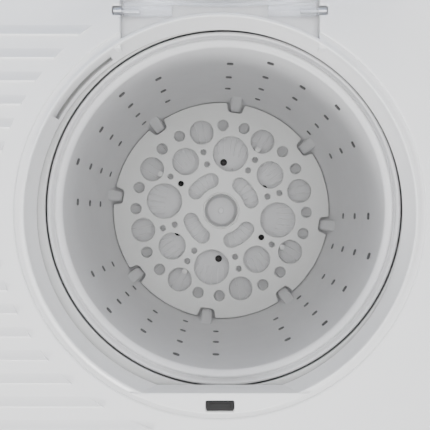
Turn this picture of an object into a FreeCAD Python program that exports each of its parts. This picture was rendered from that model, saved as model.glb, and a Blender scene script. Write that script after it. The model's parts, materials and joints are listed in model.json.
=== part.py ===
import FreeCAD, Part
import math
import os
import Sketcher

# Twin-tub top load washing machine: wash tub at the left, spin basket at the right.
# Millimetres, origin on the floor under the middle, +Z up, front towards -Y.

doc = FreeCAD.newDocument("washing_machine")
sheet = doc.addObject("Spreadsheet::Sheet", "sizes")
nodes = []


class Size:
    """A number together with the sheet formula that gives it."""

    def __init__(self, value, formula):
        self.value = value
        self.formula = formula

    def join(self, other, sign, value):
        return Size(value, f"({self.formula} {sign} {formula_of(other)})")

    def __add__(self, other):
        return self.join(other, "+", self.value + number(other))

    def __radd__(self, other):
        return self + other

    def __sub__(self, other):
        return self.join(other, "-", self.value - number(other))

    def __rsub__(self, other):
        return -self + other

    def __mul__(self, other):
        return self.join(other, "*", self.value * number(other))

    def __rmul__(self, other):
        return self * other

    def __truediv__(self, other):
        return self.join(other, "/", self.value / number(other))

    def __neg__(self):
        return Size(-self.value, f"(0 - {self.formula})")


def number(item):
    return item.value if isinstance(item, Size) else float(item)


def formula_of(item):
    return item.formula if isinstance(item, Size) else repr(float(item))


def size(name, value):
    """Puts one size in the sheet and gives it back as a Size."""
    size.row += 1
    sheet.set(f"A{size.row}", name)
    sheet.set(f"B{size.row}", str(value))
    sheet.setAlias(f"B{size.row}", name)
    return Size(value, f"sizes.{name}")


size.row = 0

# Cabinet
body_width = size("body_width", 720)
front_y = size("front_y", -215)
back_y = size("back_y", 198)
foot_height = size("foot_height", 14)
base_top = size("base_top", 74)
deck_top = size("deck_top", 790)
console_top = size("console_top", 880)
skin = size("skin", 3)
deck_skirt = size("deck_skirt", 26)

# Spin side: the basket hangs a little right of and behind the middle of its opening
open_x = size("open_x", 187)
open_y = size("open_y", -28)
spin_x = size("spin_x", 190)
spin_y = size("spin_y", -25)
valley_radius = size("valley_radius", 141.5)
ridge_radius = size("ridge_radius", 134)
collar_radius = size("collar_radius", 130.6)
collar_depth = size("collar_depth", 26.5)
chord_front = size("chord_front", 122.7)
basket_drop = size("basket_drop", 29.5)
basket_depth = size("basket_depth", 264)
basket_lip = size("basket_lip", 116.2)
basket_floor_radius = size("basket_floor_radius", 113)
basket_wall = size("basket_wall", 2)
slot_width = size("slot_width", 5)
slot_height = size("slot_height", 9.5)
slot_pitch = size("slot_pitch", 55)
plate_radius = size("plate_radius", 111)
tub_radius = size("tub_radius", 150)
spin_tub_floor = size("spin_tub_floor", 465)

# Lids
recess_half = size("recess_half", 68)
hinge_back = size("hinge_back", 138)
lid_radius = size("lid_radius", 139.5)
lid_thick = size("lid_thick", 2.4)
lid_lean = size("lid_lean", 98)
pin_radius = size("pin_radius", 3)
pin_play = size("pin_play", 0.1)

# Wash side
wash_x = size("wash_x", -165)
wash_y = size("wash_y", -39)
wash_half_x = size("wash_half_x", 170)
wash_half_y = size("wash_half_y", 148)
wash_floor = size("wash_floor", 420)
wash_corner = size("wash_corner", 60)
wash_hinge_y = size("wash_hinge_y", 118)
pulsator_radius = size("pulsator_radius", 130)
shaft_radius = size("shaft_radius", 6)
bearing_play = size("bearing_play", 0.05)
driven_radius = size("driven_radius", 90)
drive_radius = size("drive_radius", 15)
belt_z = size("belt_z", 295)
motor_x = size("motor_x", -45)
motor_radius = size("motor_radius", 60)
rib_pitch = size("rib_pitch", 15.8)
rib_height = size("rib_height", 2.6)

basket_top = deck_top - basket_drop
basket_floor = basket_top - basket_depth
hinge_y = open_y + hinge_back
doc.recompute()


# ---------------------------------------------------------------- helpers
def origin_plane(body, role):
    return [item for item in body.Origin.OriginFeatures if item.Role == role][0]


def place(item, x=0, y=0, z=0):
    """Places an object, with each coordinate bound to the sheet."""
    item.Placement.Base = FreeCAD.Vector(number(x), number(y), number(z))
    for axis, value in (("x", x), ("y", y), ("z", z)):
        if isinstance(value, Size):
            item.setExpression(f".Placement.Base.{axis}", value.formula)
    return item


def node(item, name):
    """Marks an object as a finished sub-part under its node name."""
    item.Label = name
    nodes.append(item)
    return item


def new_body(name, x=0, y=0, z=0):
    body = doc.addObject("PartDesign::Body", name)
    place(body, x, y, z)
    return node(body, name)


def new_sketch(body, role="XY_Plane", offset=0):
    sketch = body.newObject("Sketcher::SketchObject", "sketch")
    sketch.AttachmentSupport = [(origin_plane(body, role), "")]
    sketch.MapMode = "FlatFace"
    sketch.AttachmentOffset = FreeCAD.Placement(FreeCAD.Vector(0, 0, number(offset)), FreeCAD.Rotation())
    if isinstance(offset, Size):
        sketch.setExpression(".AttachmentOffset.Base.z", offset.formula)
    return sketch


def constrain(sketch, entries):
    """Adds constraints; an entry is (constraint, size or None)."""
    indexes = sketch.addConstraint([entry[0] for entry in entries])
    for index, entry in zip(indexes, entries):
        if isinstance(entry[1], Size):
            sketch.setExpression(f"Constraints[{index}]", entry[1].formula)


def point_at(geometry, position, x, y):
    return [
        (Sketcher.Constraint("DistanceX", -1, 1, geometry, position, number(x)), x),
        (Sketcher.Constraint("DistanceY", -1, 1, geometry, position, number(y)), y),
    ]


def polygon(sketch, points):
    """Draws one closed outline with straight sides."""
    corners = [FreeCAD.Vector(number(x), number(y), 0) for x, y in points]
    count = len(corners)
    first = sketch.addGeometry(
        [Part.LineSegment(corners[i], corners[(i + 1) % count]) for i in range(count)]
    )[0]
    entries = []
    for i in range(count):
        entries.append((Sketcher.Constraint("Coincident", first + i, 2, first + (i + 1) % count, 1), None))
        entries += point_at(first + i, 1, *points[i])
    constrain(sketch, entries)


def rectangle(sketch, x_low, y_low, x_high, y_high):
    polygon(sketch, [(x_low, y_low), (x_high, y_low), (x_high, y_high), (x_low, y_high)])


def rounded_rectangle(sketch, half_x, half_y, corner):
    """A rectangle about the sketch's origin whose corners are arcs."""
    up = FreeCAD.Vector(0, 0, 1)
    a, b, r = number(half_x), number(half_y), number(corner)
    entries = []
    arcs = []
    for turn, (sx, sy) in enumerate(((1, 1), (-1, 1), (-1, -1), (1, -1))):
        centre = FreeCAD.Vector(sx * (a - r), sy * (b - r), 0)
        start = turn * math.pi / 2
        arc = sketch.addGeometry(Part.ArcOfCircle(Part.Circle(centre, up, r), start, start + math.pi / 2))
        entries += point_at(arc, 3, (half_x - corner) * sx, (half_y - corner) * sy)
        entries.append((Sketcher.Constraint("Radius", arc, r), corner))
        arcs.append(arc)
    ends = [(a - r, b), (r - a, b), (-a, b - r), (-a, r - b), (r - a, -b), (a - r, -b), (a, r - b), (a, b - r)]
    for side in range(4):
        first = FreeCAD.Vector(*ends[2 * side], 0)
        second = FreeCAD.Vector(*ends[2 * side + 1], 0)
        line = sketch.addGeometry(Part.LineSegment(first, second))
        entries.append((Sketcher.Constraint("Tangent", arcs[side], 2, line, 1), None))
        entries.append((Sketcher.Constraint("Tangent", line, 2, arcs[(side + 1) % 4], 1), None))
    constrain(sketch, entries)


def circle(sketch, x, y, radius):
    centre = FreeCAD.Vector(number(x), number(y), 0)
    index = sketch.addGeometry(Part.Circle(centre, FreeCAD.Vector(0, 0, 1), number(radius)))
    entries = point_at(index, 3, x, y)
    entries.append((Sketcher.Constraint("Radius", index, number(radius)), radius))
    constrain(sketch, entries)


def polar_circle(sketch, distance, degrees, radius):
    angle = math.radians(degrees)
    circle(sketch, distance * math.cos(angle), distance * math.sin(angle), radius)


def stadium(sketch, x, y, reach, radius):
    """Upright slot: two half circles, centres a reach above and below (x, y)."""
    cx, cy, far, near = number(x), number(y), number(reach), number(radius)
    up = FreeCAD.Vector(0, 0, 1)
    top, bottom, left, right = sketch.addGeometry([
        Part.ArcOfCircle(Part.Circle(FreeCAD.Vector(cx, cy + far, 0), up, near), 0, math.pi),
        Part.ArcOfCircle(Part.Circle(FreeCAD.Vector(cx, cy - far, 0), up, near), math.pi, 2 * math.pi),
        Part.LineSegment(FreeCAD.Vector(cx - near, cy + far, 0), FreeCAD.Vector(cx - near, cy - far, 0)),
        Part.LineSegment(FreeCAD.Vector(cx + near, cy - far, 0), FreeCAD.Vector(cx + near, cy + far, 0)),
    ])
    joints = [(top, left), (left, bottom), (bottom, right), (right, top)]
    entries = [(Sketcher.Constraint("Tangent", a, 2, b, 1), None) for a, b in joints]
    entries.append((Sketcher.Constraint("Equal", top, bottom), None))
    entries += point_at(top, 3, x, y + reach)
    entries += point_at(bottom, 3, x, y - reach)
    entries.append((Sketcher.Constraint("Radius", top, near), radius))
    constrain(sketch, entries)


def pad(body, sketch, length, down=False):
    feature = body.newObject("PartDesign::Pad", "pad")
    feature.Profile = sketch
    feature.Length = number(length)
    if isinstance(length, Size):
        feature.setExpression("Length", length.formula)
    feature.Reversed = down
    doc.recompute()
    return feature


def pocket(body, sketch, depth=None, up=False):
    """Cuts down from the sketch, up from it, or through all when no depth is given."""
    feature = body.newObject("PartDesign::Pocket", "pocket")
    feature.Profile = sketch
    if depth is None:
        feature.Type = "ThroughAll"
        feature.Midplane = True
    else:
        feature.Length = number(depth)
        if isinstance(depth, Size):
            feature.setExpression("Length", depth.formula)
    feature.Reversed = up
    doc.recompute()
    return feature


def spin(body, points, cut=False, degrees=360):
    """Turns an outline of (radius, height) round the body's upright axis, or cuts with it."""
    sketch = new_sketch(body, "XZ_Plane")
    polygon(sketch, points)
    kind = "PartDesign::Groove" if cut else "PartDesign::Revolution"
    feature = body.newObject(kind, "groove" if cut else "turn")
    feature.Profile = sketch
    feature.ReferenceAxis = (sketch, ["V_Axis"])
    feature.Angle = degrees
    doc.recompute()
    return feature


def repeat(body, features, count, degrees=360.0):
    """Repeats features round the upright axis."""
    pattern = body.newObject("PartDesign::PolarPattern", "pattern")
    pattern.Originals = features
    pattern.Axis = (origin_plane(body, "Z_Axis"), [""])
    pattern.Angle = degrees
    pattern.Occurrences = count
    body.Tip = pattern
    doc.recompute()
    return pattern


def fillet_edges(body, radius, chosen):
    """Rounds the edges of the body's tip that the given test accepts."""
    tip = body.Tip
    names = [f"Edge{i + 1}" for i, edge in enumerate(tip.Shape.Edges) if chosen(edge)]
    feature = body.newObject("PartDesign::Fillet", "round")
    feature.Base = (tip, names)
    feature.Radius = number(radius)
    if isinstance(radius, Size):
        feature.setExpression("Radius", radius.formula)
    doc.recompute()
    return feature


def upright(edge):
    return edge.BoundBox.XLength < 1e-4 and edge.BoundBox.YLength < 1e-4


def bound(item, **sizes):
    """Sets and binds a primitive's sizes."""
    for name, value in sizes.items():
        setattr(item, name, number(value))
        if isinstance(value, Size):
            item.setExpression(name, value.formula)
    return item


def box(length, width, height, x, y, z):
    item = bound(doc.addObject("Part::Box", "block"), Length=length, Width=width, Height=height)
    return place(item, x, y, z)


def centred_box(length, width, height, x, y, z):
    return box(length, width, height, x - length / 2, y - width / 2, z)


def cylinder(radius, height, x=0, y=0, z=0, axis=None):
    """A cylinder from its base point along an axis, +Z when none is given."""
    item = bound(doc.addObject("Part::Cylinder", "rod"), Radius=radius, Height=height)
    if axis is not None:
        item.Placement.Rotation = FreeCAD.Rotation(FreeCAD.Vector(0, 0, 1), FreeCAD.Vector(*axis))
    return place(item, x, y, z)


def fuse(*items):
    result = doc.addObject("Part::MultiFuse", "joined")
    result.Shapes = list(items)
    doc.recompute()
    return result


def cut(base, *tools):
    result = doc.addObject("Part::Cut", "cut")
    result.Base = base
    result.Tool = tools[0] if len(tools) == 1 else fuse(*tools)
    doc.recompute()
    return result


def tube_shape(points, outer, inner=None):
    """A hose or cable: straight runs joined by arcs, hollow when an inner radius is given."""
    path = rounded_path([FreeCAD.Vector(*[number(c) for c in p]) for p in points], number(outer) * 3)
    start = path.Edges[0].valueAt(path.Edges[0].FirstParameter)
    along = path.Edges[0].tangentAt(path.Edges[0].FirstParameter)
    shape = pipe_shape(path, start, along, number(outer))
    if inner is not None:
        shape = shape.cut(pipe_shape(path, start, along, number(inner)))
    return shape


def swept_tubes(name, *tubes):
    """One sub-part from one or more hoses or cables, each (points, outer, inner)."""
    item = doc.addObject("Part::Feature", name)
    shapes = [tube_shape(*tube) for tube in tubes]
    item.Shape = shapes[0] if len(shapes) == 1 else Part.makeCompound(shapes)
    return node(item, name)


def pipe_shape(path, start, along, radius):
    ring = Part.Wire(Part.Circle(start, along, radius).toShape())
    return path.makePipeShell([ring], True, False, 2)


def rounded_path(points, bend):
    """A wire through the points, each inner corner replaced by a tangent arc."""
    edges = []
    last = points[0]
    for before, corner, after in zip(points, points[1:], points[2:]):
        back = (before - corner).normalize()
        ahead = (after - corner).normalize()
        half = back.getAngle(ahead) / 2
        reach = bend / math.tan(half)
        middle = corner + (back + ahead).normalize() * (bend / math.sin(half) - bend)
        first = corner + back * reach
        second = corner + ahead * reach
        edges.append(Part.LineSegment(last, first).toShape())
        edges.append(Part.Arc(first, middle, second).toShape())
        last = second
    edges.append(Part.LineSegment(last, points[-1]).toShape())
    return Part.Wire(edges)


def turned_sketch(body, role, degrees):
    """A sketch on an upright plane turned round the body's upright axis."""
    sketch = new_sketch(body, role)
    turn = FreeCAD.Rotation(FreeCAD.Vector(0, 1, 0), degrees)
    sketch.AttachmentOffset = FreeCAD.Placement(FreeCAD.Vector(), turn)
    return sketch


def spread(body, feature, steps):
    """Repeats a feature round the axis in steps of (angle, count), one inside the other."""
    transform = body.newObject("PartDesign::MultiTransform", "spread")
    transform.Originals = [feature]
    patterns = []
    for degrees, count in steps:
        pattern = body.newObject("PartDesign::PolarPattern", "step")
        pattern.Axis = (origin_plane(body, "Z_Axis"), [""])
        pattern.Angle = degrees
        pattern.Occurrences = count
        patterns.append(pattern)
    transform.Transformations = patterns
    body.Tip = transform
    doc.recompute()
    return transform


def tilted(item, degrees, x, y, z):
    """Places an object turned about the X axis."""
    item.Placement.Rotation = FreeCAD.Rotation(FreeCAD.Vector(1, 0, 0), degrees)
    return place(item, x, y, z)


# ---------------------------------------------------------------- cabinet
def cut_rectangle(sketch, inset, corner, x=0, y=0):
    """The cabinet's outline drawn in by an inset, with its corners cut, from a body at (x, y)."""
    left, right = inset - body_width / 2 - x, body_width / 2 - inset - x
    front, back = front_y + inset - y, back_y - inset - y
    polygon(sketch, [(left + corner, front), (right - corner, front), (right, front + corner),
                     (right, back - corner), (right - corner, back), (left + corner, back),
                     (left, back - corner), (left, front + corner)])


def make_base_frame():
    body = new_body("base_frame")
    low = new_sketch(body, "XY_Plane", foot_height)
    rectangle(low, -body_width / 2, front_y, body_width / 2, back_y)
    pad(body, low, base_top - foot_height - 14)
    fillet_edges(body, 18, upright)
    high = new_sketch(body, "XY_Plane", foot_height)
    cut_rectangle(high, skin + 0.4, 10)
    pad(body, high, base_top - foot_height)
    hollow = new_sketch(body, "XY_Plane", base_top)
    cut_rectangle(hollow, skin + 4, 9)
    pocket(body, hollow, base_top - foot_height - 4)
    posts = new_sketch(body, "XY_Plane", foot_height + 4)
    for x in (-300, 300):
        for y in (-160, 145):
            circle(posts, x, y, 16)
    pad(body, posts, 30)


def make_foot_pads():
    feet = []
    for x in (-300, 300):
        for y in (-160, 145):
            feet.append(cylinder(20, foot_height, x, y, 0))
    node(fuse(*feet), "foot_pads")


def make_cabinet_shell():
    body = new_body("cabinet_shell")
    low = base_top - 14
    sketch = new_sketch(body, "XY_Plane", low)
    rectangle(sketch, -body_width / 2, front_y, body_width / 2, back_y)
    pad(body, sketch, deck_top - deck_skirt - low)
    fillet_edges(body, 18, upright)
    inside = new_sketch(body, "XY_Plane", low)
    cut_rectangle(inside, skin, 9)
    pocket(body, inside)
    window = new_sketch(body, "XZ_Plane")
    rectangle(window, -280, 120, 280, 700)
    pocket(body, window, back_y + 10)
    grips = new_sketch(body, "YZ_Plane")
    rectangle(grips, -75, 600, 55, 650)
    pocket(body, grips)


def make_side_handle_cups():
    cups = []
    for side in (-1, 1):
        outer = box(17, 129.4, 49.4, 0, -74.7, 600.3)
        place(outer, side * (body_width / 2 - 8.5) - 8.5, -74.7, 600.3)
        hollow = box(15.2, 125.4, 45.4, 0, -72.7, 602.3)
        place(hollow, side * (body_width / 2 - 7.5 + 0.1) - 7.6, -72.7, 602.3)
        cups.append(cut(outer, hollow))
    node(fuse(*cups), "side_handle_cups")


screw_spots = [(x, z) for x in (-284, 0, 284) for z in (106, 704)]
screw_spots += [(-284, 405), (284, 405)]


def make_rear_cover():
    plate = box(584, 2.5, 614, -292, back_y, 98)
    vents = [box(4, 6, 60, x, back_y - 2, z) for x in range(-220, 221, 20) for z in (180, 560)]
    holes = [cylinder(2, 6, x, back_y - 2, z, (0, 1, 0)) for x, z in screw_spots]
    gland_hole = cylinder(9.5, 6, -240, back_y - 2, 130, (0, 1, 0))
    drain_hole = cylinder(18, 6, -25, back_y - 2, 330, (0, 1, 0))
    node(cut(plate, *vents, *holes, gland_hole, drain_hole), "rear_cover")


def make_rear_cover_screws():
    screws = []
    for x, z in screw_spots:
        head = cylinder(4, 2.4, x, back_y + 2.5, z, (0, 1, 0))
        slit = box(6, 1.2, 1, x - 3, back_y + 4, z - 0.5)
        shank = cylinder(1.8, 3, x, back_y, z, (0, 1, 0))
        screws.append(fuse(cut(head, slit), shank))
    node(fuse(*screws), "rear_cover_screws")


def make_cord_gland():
    flange = cylinder(13, 3, -240, back_y + 2.5, 130, (0, 1, 0))
    neck = cylinder(9.2, 12, -240, back_y - 8, 130, (0, 1, 0))
    bore = cylinder(4, 40, -240, back_y - 20, 130, (0, 1, 0))
    node(cut(fuse(flange, neck), bore), "cord_gland")


# ---------------------------------------------------------------- deck
def make_top_deck():
    body = new_body("top_deck", open_x, open_y, 0)
    under = deck_top - deck_skirt
    left = -body_width / 2 - open_x
    right = body_width / 2 - open_x
    outline = new_sketch(body, "XY_Plane", under)
    rectangle(outline, left, front_y - open_y, right, back_y - open_y)
    pad(body, outline, deck_skirt)
    fillet_edges(body, 18, upright)
    fillet_edges(body, 5, lambda edge: edge.BoundBox.ZMin > deck_top.value - 0.01)
    inside = new_sketch(body, "XY_Plane", under)
    cut_rectangle(inside, skin, 9, open_x, open_y)
    pocket(body, inside, deck_skirt - skin, up=True)
    add_wash_opening(body, under)
    add_ribs(body, left)
    add_spin_opening(body)
    add_hinge_recesses(body)
    add_collar(body)
    add_front_shelf(body)


def wash_outline(sketch, extra):
    """The wash opening with its corners cut, grown by an extra margin."""
    x, y = wash_x - open_x, wash_y - open_y
    a, b, c = wash_half_x + extra, wash_half_y + extra, wash_corner * 0.3
    rows = [(-a, b - c), (-a, c - b), (c - a, -b), (a - c, -b), (a, c - b), (a, b - c), (a - c, b), (c - a, b)]
    polygon(sketch, [(x + along, y + across) for along, across in rows])


def near_wash_corner(edge):
    return upright(edge) and edge.BoundBox.XMin < -open_x.value + 20 and abs(edge.Length - 26) < 0.1


def add_wash_opening(body, under):
    wall = new_sketch(body, "XY_Plane", under)
    wash_outline(wall, 3)
    pad(body, wall, deck_skirt - 1)
    hole = new_sketch(body, "XY_Plane", under)
    wash_outline(hole, 0)
    pocket(body, hole)
    fillet_edges(body, 20, near_wash_corner)


def add_ribs(body, left):
    """Washboard ribs: a slow rise from the back and a steep front face."""
    start = wash_x - open_x + wash_half_x + 8
    row = new_sketch(body, "YZ_Plane", start)
    back = size("first_rib_back", 128.5)
    top = deck_top + rib_height
    polygon(row, [(back, deck_top - 0.5), (back, deck_top), (back - 6, top), (back - 7.2, deck_top),
                  (back - 7.2, deck_top - 0.5)])
    rib = pad(body, row, 113)
    rows = body.newObject("PartDesign::LinearPattern", "rib_rows")
    rows.Originals = [rib]
    rows.Direction = (origin_plane(body, "Y_Axis"), [""])
    rows.Reversed = True
    rows.Length = number(rib_pitch * 17)
    rows.setExpression("Length", (rib_pitch * 17).formula)
    rows.Occurrences = 18
    body.Tip = rows
    doc.recompute()
    trim = new_sketch(body, "XY_Plane", deck_top)
    circle(trim, 0, 0, valley_radius + 12.5)
    pocket(body, trim, 6, up=True)


def add_spin_opening(body):
    hole = new_sketch(body, "XY_Plane", deck_top)
    circle(hole, 0, 0, valley_radius)
    pocket(body, hole)
    outer = valley_radius + 0.6
    low = deck_top - 4.5
    spin(body, [(outer, low), (outer, deck_top), (valley_radius - 2, deck_top - 1.3),
                (valley_radius - 4.5, deck_top - 1.5), (ridge_radius, deck_top - 1), (ridge_radius, low)])


def add_hinge_recesses(body):
    """Recesses for the lids' tongues, with open slots at the sides for the pins."""
    spots = [(0, hinge_back, recess_half, 35), (wash_x - open_x, wash_hinge_y - open_y, recess_half + 32, 10)]
    for x, y, half, reach in spots:
        block = new_sketch(body, "XY_Plane", deck_top - 13)
        rectangle(block, x - half - 9, y - reach + 1, x + half + 9, y + 13)
        pad(body, block, 11)
        recess = new_sketch(body, "XY_Plane", deck_top)
        rectangle(recess, x - half, y - reach, x + half, y + 10)
        pocket(body, recess, 10)
        slots = new_sketch(body, "XY_Plane", deck_top)
        reach_in = pin_radius + pin_play
        rectangle(slots, x - half - 5.5, y - reach_in, x + half + 5.5, y + reach_in)
        pocket(body, slots, 4 + pin_radius + pin_play)


def add_collar(body):
    bottom = deck_top - collar_depth
    wall = [
        (ridge_radius - 0.8, deck_top - 12), (ridge_radius, deck_top - 1.2), (ridge_radius + 0.6, deck_top),
        (ridge_radius + 1.4, deck_top + 0.3), (ridge_radius + 2.4, deck_top - 0.3),
        (ridge_radius + 3, deck_top - 1.6), (ridge_radius + 3, deck_top - 5),
        (ridge_radius + 1.4, deck_top - 12), (collar_radius + 2.5, bottom), (collar_radius, bottom),
    ]
    spin(body, wall)
    inner = [(0, deck_top + 6), (ridge_radius + 0.01, deck_top + 6), (ridge_radius, deck_top - 1.2),
             (ridge_radius - 0.8, deck_top - 12), (collar_radius, bottom), (collar_radius - 1, bottom - 12),
             (0, bottom - 12)]
    spin(body, inner, cut=True)
    window = new_sketch(body, "XY_Plane", deck_top - 20)
    corners = [(radius, angle) for radius, angle in ((126, 125), (139, 125), (140, 137.5), (139, 150),
                                                     (126, 150), (126, 137.5))]
    polygon(window, [(r * math.cos(math.radians(a)), r * math.sin(math.radians(a))) for r, a in corners])
    pocket(body, window, 11.5, up=True)


def add_front_shelf(body):
    """The front of the opening is straight, with a narrow shelf behind the ring for the bumper."""
    radius = ridge_radius + 2.6
    half = math.sqrt(radius.value ** 2 - chord_front.value ** 2)
    shelf = new_sketch(body, "XY_Plane", deck_top - 3)
    around = math.atan2(-chord_front.value, half)
    up = FreeCAD.Vector(0, 0, 1)
    arc = Part.ArcOfCircle(Part.Circle(FreeCAD.Vector(), up, radius.value), math.pi - around + 0, 2 * math.pi + around)
    left, right = FreeCAD.Vector(-half, -chord_front.value, 0), FreeCAD.Vector(half, -chord_front.value, 0)
    arc_at = shelf.addGeometry(arc)
    line_at = shelf.addGeometry(Part.LineSegment(right, left))
    constrain(shelf, [
        (Sketcher.Constraint("Coincident", arc_at, 2, line_at, 1), None),
        (Sketcher.Constraint("Coincident", line_at, 2, arc_at, 1), None),
        (Sketcher.Constraint("Coincident", arc_at, 3, -1, 1), None),
        (Sketcher.Constraint("Radius", arc_at, radius.value), radius),
        (Sketcher.Constraint("Horizontal", line_at), None),
        (Sketcher.Constraint("DistanceY", -1, 1, line_at, 1, -chord_front.value), -chord_front),
    ])
    pad(body, shelf, 3)
    wall = new_sketch(body, "XY_Plane", deck_top - 1)
    rectangle(wall, -half + 6, -chord_front - 2.5, half - 6, -chord_front)
    pad(body, wall, collar_depth - 1, down=True)
    seat = new_sketch(body, "XY_Plane", deck_top + 1)
    rectangle(seat, -9.6, -chord_front - 12.4, 9.6, -chord_front - 5.4)
    pocket(body, seat, 3)


def make_lid_bumper():
    pad_block = box(19, 6.8, 2.6, open_x - 9.5, open_y - chord_front - 12.3, deck_top - 2)
    node(pad_block, "lid_bumper")


# ---------------------------------------------------------------- console
slope_run = 30
slope_rise = 80
slope_degrees = math.degrees(math.atan2(slope_run, slope_rise))
console_front = size("console_front", 130)
normal_y = -math.cos(math.radians(slope_degrees))
normal_z = math.sin(math.radians(slope_degrees))
knob_spots = [("wash_timer_knob", -255), ("selector_knob", -95), ("spin_timer_knob", 300)]


def on_slope(out):
    """The (y, z) of the middle of the sloped front, moved out along its normal."""
    y = console_front + slope_run / 2 + out * normal_y
    z = deck_top + 2 + slope_rise / 2 + out * normal_z
    return y, z


def make_console_housing():
    body = new_body("console_housing")
    front = new_sketch(body, "YZ_Plane", 6 - body_width / 2)
    top = console_top
    polygon(front, [(console_front, deck_top), (console_front, deck_top + 2),
                    (console_front + slope_run, deck_top + 2 + slope_rise), (console_front + slope_run + 8, top),
                    (back_y, top), (back_y, deck_top)])
    pad(body, front, body_width - 12)
    inside = new_sketch(body, "YZ_Plane", 9 - body_width / 2)
    polygon(inside, [(console_front + 3, deck_top - 1), (console_front + 3, deck_top + 2),
                     (console_front + slope_run + 3, deck_top + 2 + slope_rise),
                     (console_front + slope_run + 10, top - 3), (back_y - 3, top - 3), (back_y - 3, deck_top - 1)])
    pocket(body, inside, body_width - 18, up=True)
    y, z = on_slope(0)
    holes = [cylinder(5, 20, x, y - normal_y * 8, z - normal_z * 8, (0, normal_y, normal_z)) for _, x in knob_spots]
    inlet = cylinder(13.5, 20, 79, back_y - 10, deck_top + 40, (0, 1, 0))
    nodes.remove(body)
    body.Label = "console_shell"
    node(cut(body, *holes, inlet), "console_housing")


def make_console_fascia():
    y, z = on_slope(2.3)
    plate = centred_box(650, 2, 66, 0, 1, -33)
    holes = [cylinder(3.3, 6, x, 3, 0, (0, -1, 0)) for _, x in knob_spots]
    tilted(node(cut(plate, *holes), "console_fascia"), -slope_degrees, 0, y, z)


def make_knob(name, x):
    """A ribbed knob with a pointer; its stem reaches the switch behind the panel."""
    y, z = on_slope(2.8)
    body = new_body(name, x, y, z)
    body.Placement.Rotation = FreeCAD.Rotation(FreeCAD.Vector(1, 0, 0), 90 - slope_degrees)
    spin(body, [(0, 2), (3, 2), (3, 0), (21, 0), (21, 2.5), (17, 4), (15.5, 11), (13, 12.5), (0, 12.5)])
    grip = new_sketch(body, "XY_Plane", 3)
    circle(grip, 19.2, 0, 2.6)
    cut_out = pocket(body, grip, 20, up=True)
    repeat(body, [cut_out], 18)
    bar = new_sketch(body, "XY_Plane", 12)
    rectangle(bar, -2.2, -14, 2.2, 14)
    pad(body, bar, 2.5)
    stem = new_sketch(body, "XY_Plane", 2.5)
    circle(stem, 0, 0, 3)
    pad(body, stem, 24.5, down=True)


def make_switch_bodies():
    """The two clockwork timers and the drain selector, each with a socket for its knob's stem."""
    blocks = []
    for _, x in knob_spots:
        case = centred_box(46, 26, 44, x, 21, -22)
        plate = centred_box(56, 1.2, 50, x, 7.4, -25)
        socket = cylinder(3.05, 40, x, -2, 0, (0, 1, 0))
        blocks.append(cut(fuse(case, plate), socket))
    y, z = on_slope(2.3)
    tilted(node(fuse(*blocks), "console_switches"), -slope_degrees, 0, y, z)


# ---------------------------------------------------------------- lids
def lid_edge(edge):
    return edge.BoundBox.ZMin > 7.1 and edge.BoundBox.ZLength < 0.01


def make_spin_lid():
    """Closed it lies in the ring's valley; it is placed open, leaning a little past upright."""
    body = new_body("spin_lid", open_x, hinge_y, deck_top - 4)
    body.Placement.Rotation = FreeCAD.Rotation(FreeCAD.Vector(1, 0, 0), -lid_lean.value)
    low = size("lid_low", 4.8)
    disc = new_sketch(body, "XY_Plane", low)
    circle(disc, 0, -hinge_back, lid_radius)
    pad(body, disc, lid_thick)
    hollow = new_sketch(body, "XY_Plane", low)
    circle(hollow, 0, -hinge_back, lid_radius)
    circle(hollow, 0, -hinge_back, lid_radius - 2.2)
    pad(body, hollow, 1.6, down=True)
    tongue = new_sketch(body, "XY_Plane", low)
    rectangle(tongue, 1.6 - recess_half, -34, recess_half - 1.6, 2)
    pad(body, tongue, lid_thick)
    for start in (1.6 - recess_half, size("lid_barrel_from", 33)):
        web = new_sketch(body, "YZ_Plane", start)
        polygon(web, [(-3, 0), (2, 0), (2, low + 0.5), (-3, low + 0.5)])
        pad(body, web, recess_half - 34.6)
        barrel = new_sketch(body, "YZ_Plane", start)
        circle(barrel, 0, 0, 3.6)
        pad(body, barrel, recess_half - 34.6)
    for side in (-1, 1):
        bore = new_sketch(body, "YZ_Plane", side * (recess_half - 14))
        circle(bore, 0, 0, 1.6)
        pocket(body, bore, 20, up=side > 0)
    ring = new_sketch(body, "XY_Plane", low + lid_thick)
    circle(ring, 0, -hinge_back, 96)
    circle(ring, 0, -hinge_back, 92)
    pad(body, ring, 1.2)


def make_lid_pins(name, x, y, half, degrees):
    """Steel pins pressed into the lid's barrel, their collars running in the deck's slots."""
    pins = []
    for side in (-1, 1):
        root = cylinder(1.6, 13, side * (half - 13), 0, 0, (side, 0, 0))
        end = cylinder(pin_radius, 5.6, side * (half - 0.8), 0, 0, (side, 0, 0))
        pins.append(fuse(root, end))
    tilted(node(fuse(*pins), name), degrees, x, y, deck_top - 4)


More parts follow.
